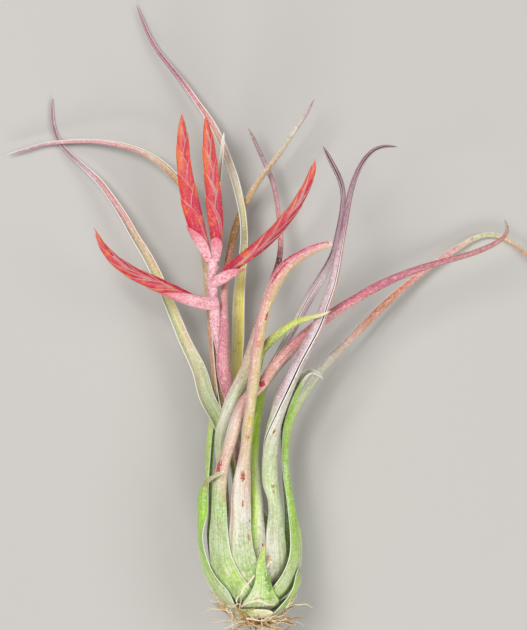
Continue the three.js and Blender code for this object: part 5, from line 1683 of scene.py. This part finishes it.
def dry_finish(name, tones, roughness):
    """Fibrous plant matter: three tones mixed by the strand's own tint and a fine grain."""
    material, sheet, shader = new_skin(name, {"Roughness": roughness, "Specular IOR Level": 0.3})
    grain = sheet.grain(1.0, detail=5.0, rough=0.7)
    patch = sheet.grain(0.25, detail=3.0, rough=0.6)
    shade = sheet.plus(sheet.attribute("tint"), sheet.times(patch, PATCH_SHARE))
    colour = sheet.ramp(shade, list(zip(TONE_PLACES, tones)))
    grained = sheet.times(sheet.rise(grain, *GRAIN_SHOWS), GRAIN_SHARE)
    sheet.feed(shader["Base Color"], sheet.dimmed(grained, colour, FIBRE_TONE))
    add_relief(sheet, shader, grain, ROOT_RELIEF, ROOT_RELIEF_STRENGTH)
    return material


stem.data.materials.append(dry_finish("stem", ("olive", "soft_green", "cream"), 0.7))
finish_piece(stem, ["stem"], "stem_core")

# %% [markdown]
# ## The roots
#
# From the foot of the stem come dry wiry roots, which part and bend as they like. Ten strands
# that match the solid tuft are drawn, and each becomes a bundle of thinner ones. Twigs set out
# from them, and short roots from the foot of the bulb, on a random walk. Its seed is fixed, so
# they fall the same way in each run. A few broken roots lie over the bulb. One rod is modelled,
# and each root is a copy of it with its own mesh.

# %% Root strands: column, row, height and width in pixels
CROWN = [(256.2, 619.6, 22, 20), (256.4, 621, 22, 21), (256.7, 623, 22, 18), (257, 626, 22, 8)]
STRANDS = [
    [(254, 622, 24, 3.4), (243, 620.5, 28, 3), (230, 612, 31, 2.6), (217, 600, 33, 1)],
    [(254, 623, 21, 3.2), (240, 621, 19, 2.8), (228, 613.5, 17, 2.4), (216, 604, 15, 0.9)],
    [(255, 623, 25, 3), (246, 624, 30, 2.4), (238, 628, 32, 1.8), (229, 630, 33, 0.8)],
    [(258, 623, 22, 3.2), (268, 623, 26, 2.8), (280, 621, 28, 2.4), (295, 625, 28, 0.9)],
    [(258, 622.5, 21, 3), (270, 619.5, 16, 2.8), (283, 613, 13, 2.4), (294, 604, 11, 1)],
    [(258, 623, 23, 3.2), (268, 626, 27, 2.6), (276, 628, 29, 2), (284, 630, 30, 0.9)],
    [(256, 623, 20, 3), (253, 624, 13, 2.6), (247, 625, 7, 2), (238, 627, 4.4, 0.9)],
    [(259, 622.5, 23, 3), (272, 620, 29, 2.4), (284, 618, 32, 2), (296, 617.5, 33, 0.9)],
    [(256, 623, 24, 3), (249, 623, 31, 2.4), (242, 614, 36, 1.8), (237, 604, 37.4, 0.8)],
    [(257, 624, 24, 2.6), (262, 628, 28, 2.2), (268, 630, 30, 1.6), (274, 629, 31, 0.7)],
]
print("strands:", len(STRANDS))

# %% A strand that follows a line
STRAND_SIDES, STRAND_RINGS, STRAND_FLATNESS = 7, 14, 0.75
ROOT_SWAY, SWAY_EVERY, SWAY_APART, SWAY_UNEVEN = 0.5, 1.1, 40, 1.3
ROOT_END = -126.2

template, template_places = ringed_cylinder("strand", STRAND_SIDES, STRAND_RINGS)


def strand(name, line, tint):
    """A copy of the template with its own mesh, laid along the line and swaying about it."""
    deselect_all()
    template.select_set(True)
    bpy.context.view_layer.objects.active = template
    bpy.ops.object.duplicate()
    piece = bpy.context.object
    piece.name = name
    x, y, up = (template_places[:, i:i + 1] for i in range(3))
    p, w, _, _, _, out, side = line.frames(up[:, 0])
    w = w[:, None]
    sway = up * line.length / SWAY_EVERY + SWAY_APART * tint
    p = p + ROOT_SWAY * up * (side * np.sin(sway) + out * np.cos(SWAY_UNEVEN * sway))
    places = p + out * w * STRAND_FLATNESS * y + side * w * x
    places[:, 1] = np.maximum(places[:, 1], ROOT_END)
    place_points(piece, places)
    give_attributes(piece, tint=tint)
    bpy.ops.object.shade_smooth()
    return piece


# %% Bundles of roots
BUNDLE_THICKNESS = (0.8, 0.5, 0.42, 0.36, 0.3)
PARTING, PARTED_ROWS, PARTED_HEIGHTS, CLOSE_AT_CROWN = 2.2, 0.6, 0.5, 0.15
CROWN_SIDES, CROWN_STEP = 16, 0.7
BUNDLE_TINTS = (0, 0.75)

root_seeds = np.random.default_rng(21)
root_parts = [rod("roots", round_line(CROWN), CROWN_SIDES, CROWN_STEP)]
for k, rows in enumerate(STRANDS):
    for j, thickness in enumerate(BUNDLE_THICKNESS):
        apart = np.linspace(CLOSE_AT_CROWN, 1, len(rows))[:, None]
        parted = root_seeds.normal(0, PARTING, (len(rows), 3)) * apart * (j > 0)
        bent = [(c + dc, r + dr * PARTED_ROWS, h + dh * PARTED_HEIGHTS, w * thickness)
                for (c, r, h, w), (dc, dr, dh) in zip(rows, parted)]
        root_parts.append(strand(f"root_{k}_{j}", round_line(bent),
                                 root_seeds.uniform(*BUNDLE_TINTS)))
print("roots in bundles:", len(root_parts) - 1)

# %% Twigs that wander off, and short roots that hug the foot of the bulb
TWIGS, FOOT_ROOTS = 60, 34
WALK_STEPS = 4
TWIG_HEADING, TWIG_TURN, TWIG_THINS = (1.6, 0.9, 0.8), (0.8, 0.56, 0.48), (0.85, 0.17)
TWIG_STARTS, TWIG_WIDTHS, TWIG_TINTS = (0.05, 0.8), (0.2, 0.4), (0.1, 0.9)
FOOT_SCATTER, FOOT_TURN, FOOT_THINS = (0.8, 0.5, 4), (0.7, 0.7, 0.7), (0.9, 0.16)
FOOT_STRIDES, FOOT_WIDTHS, FOOT_TINTS = (0.8, 1.8), (0.18, 0.42), (0.2, 1.0)
FOOT = [(219, 600, 26, 1), (228, 608, 30, 1), (241, 615, 31, 1), (256, 621, 30, 1),
        (270, 620, 30, 1), (281, 613, 29, 1), (291, 603, 26, 1)]


def wander(start, heading, turn, width, thins):
    """A line that turns at random at each step, and thins from a first share by a second."""
    first, less = thins
    stations = [[*start, width, *ROD]]
    for step in range(WALK_STEPS):
        heading = heading + root_seeds.normal(0, 1, 3) * turn
        start = start + heading
        stations.append([*start, width * (first - less * step), *ROD])
    return Line(stations)


for k in range(TWIGS):
    strand_line = round_line(STRANDS[k % len(STRANDS)])
    start = strand_line.read(np.array([root_seeds.uniform(*TWIG_STARTS)]))[0, :3]
    width = root_seeds.uniform(*TWIG_WIDTHS)
    heading = root_seeds.normal(0, 1, 3) * TWIG_HEADING
    twig = wander(start, heading, TWIG_TURN, width, TWIG_THINS)
    root_parts.append(strand(f"twig_{k}", twig, root_seeds.uniform(*TWIG_TINTS)))

foot_line = round_line(FOOT)
for k in range(FOOT_ROOTS):
    p, _, _, _, ahead, _, _ = foot_line.frames(np.array([root_seeds.uniform(0, 1)]))
    start = p[0] + root_seeds.normal(0, 1, 3) * FOOT_SCATTER
    heading = ahead[0] * root_seeds.choice([-1, 1]) * root_seeds.uniform(*FOOT_STRIDES)
    width = root_seeds.uniform(*FOOT_WIDTHS)
    short_root = wander(start, heading, FOOT_TURN, width, FOOT_THINS)
    root_parts.append(strand(f"foot_root_{k}", short_root, root_seeds.uniform(*FOOT_TINTS)))
print("twigs and short roots:", TWIGS + FOOT_ROOTS)

# %% Broken roots that lie over the bulb, and all roots as one piece
STRAWS = [
    [(254.6, 575, 43, 2), (250, 581, 42.6, 2.2), (242, 591, 41.4, 2.2), (237.5, 599, 38, 1.8),
     (235.5, 604, 35.6, 1.2)],
    [(241, 607.5, 33.5, 1.6), (246.5, 603, 36, 2.2), (254, 601, 37.6, 2.2), (264, 602.5, 38, 2),
     (275, 605, 36.4, 1.2)],
    [(272.4, 561, 43.4, 1.8), (269, 563, 43.6, 2), (265.8, 566.4, 43.6, 1.2)],
]
STRAW_TINT = 1.0

for k, rows in enumerate(STRAWS):
    root_parts.append(strand(f"straw_{k}", round_line(rows), STRAW_TINT))
bpy.data.objects.remove(template)
roots = joined("roots", root_parts)
roots.data.materials.append(dry_finish("roots", ("root_brown", "root_tan", "root_cream"), 0.8))
finish_piece(roots, ["roots"], "root_brown")
print("root faces:", len(roots.data.polygons))
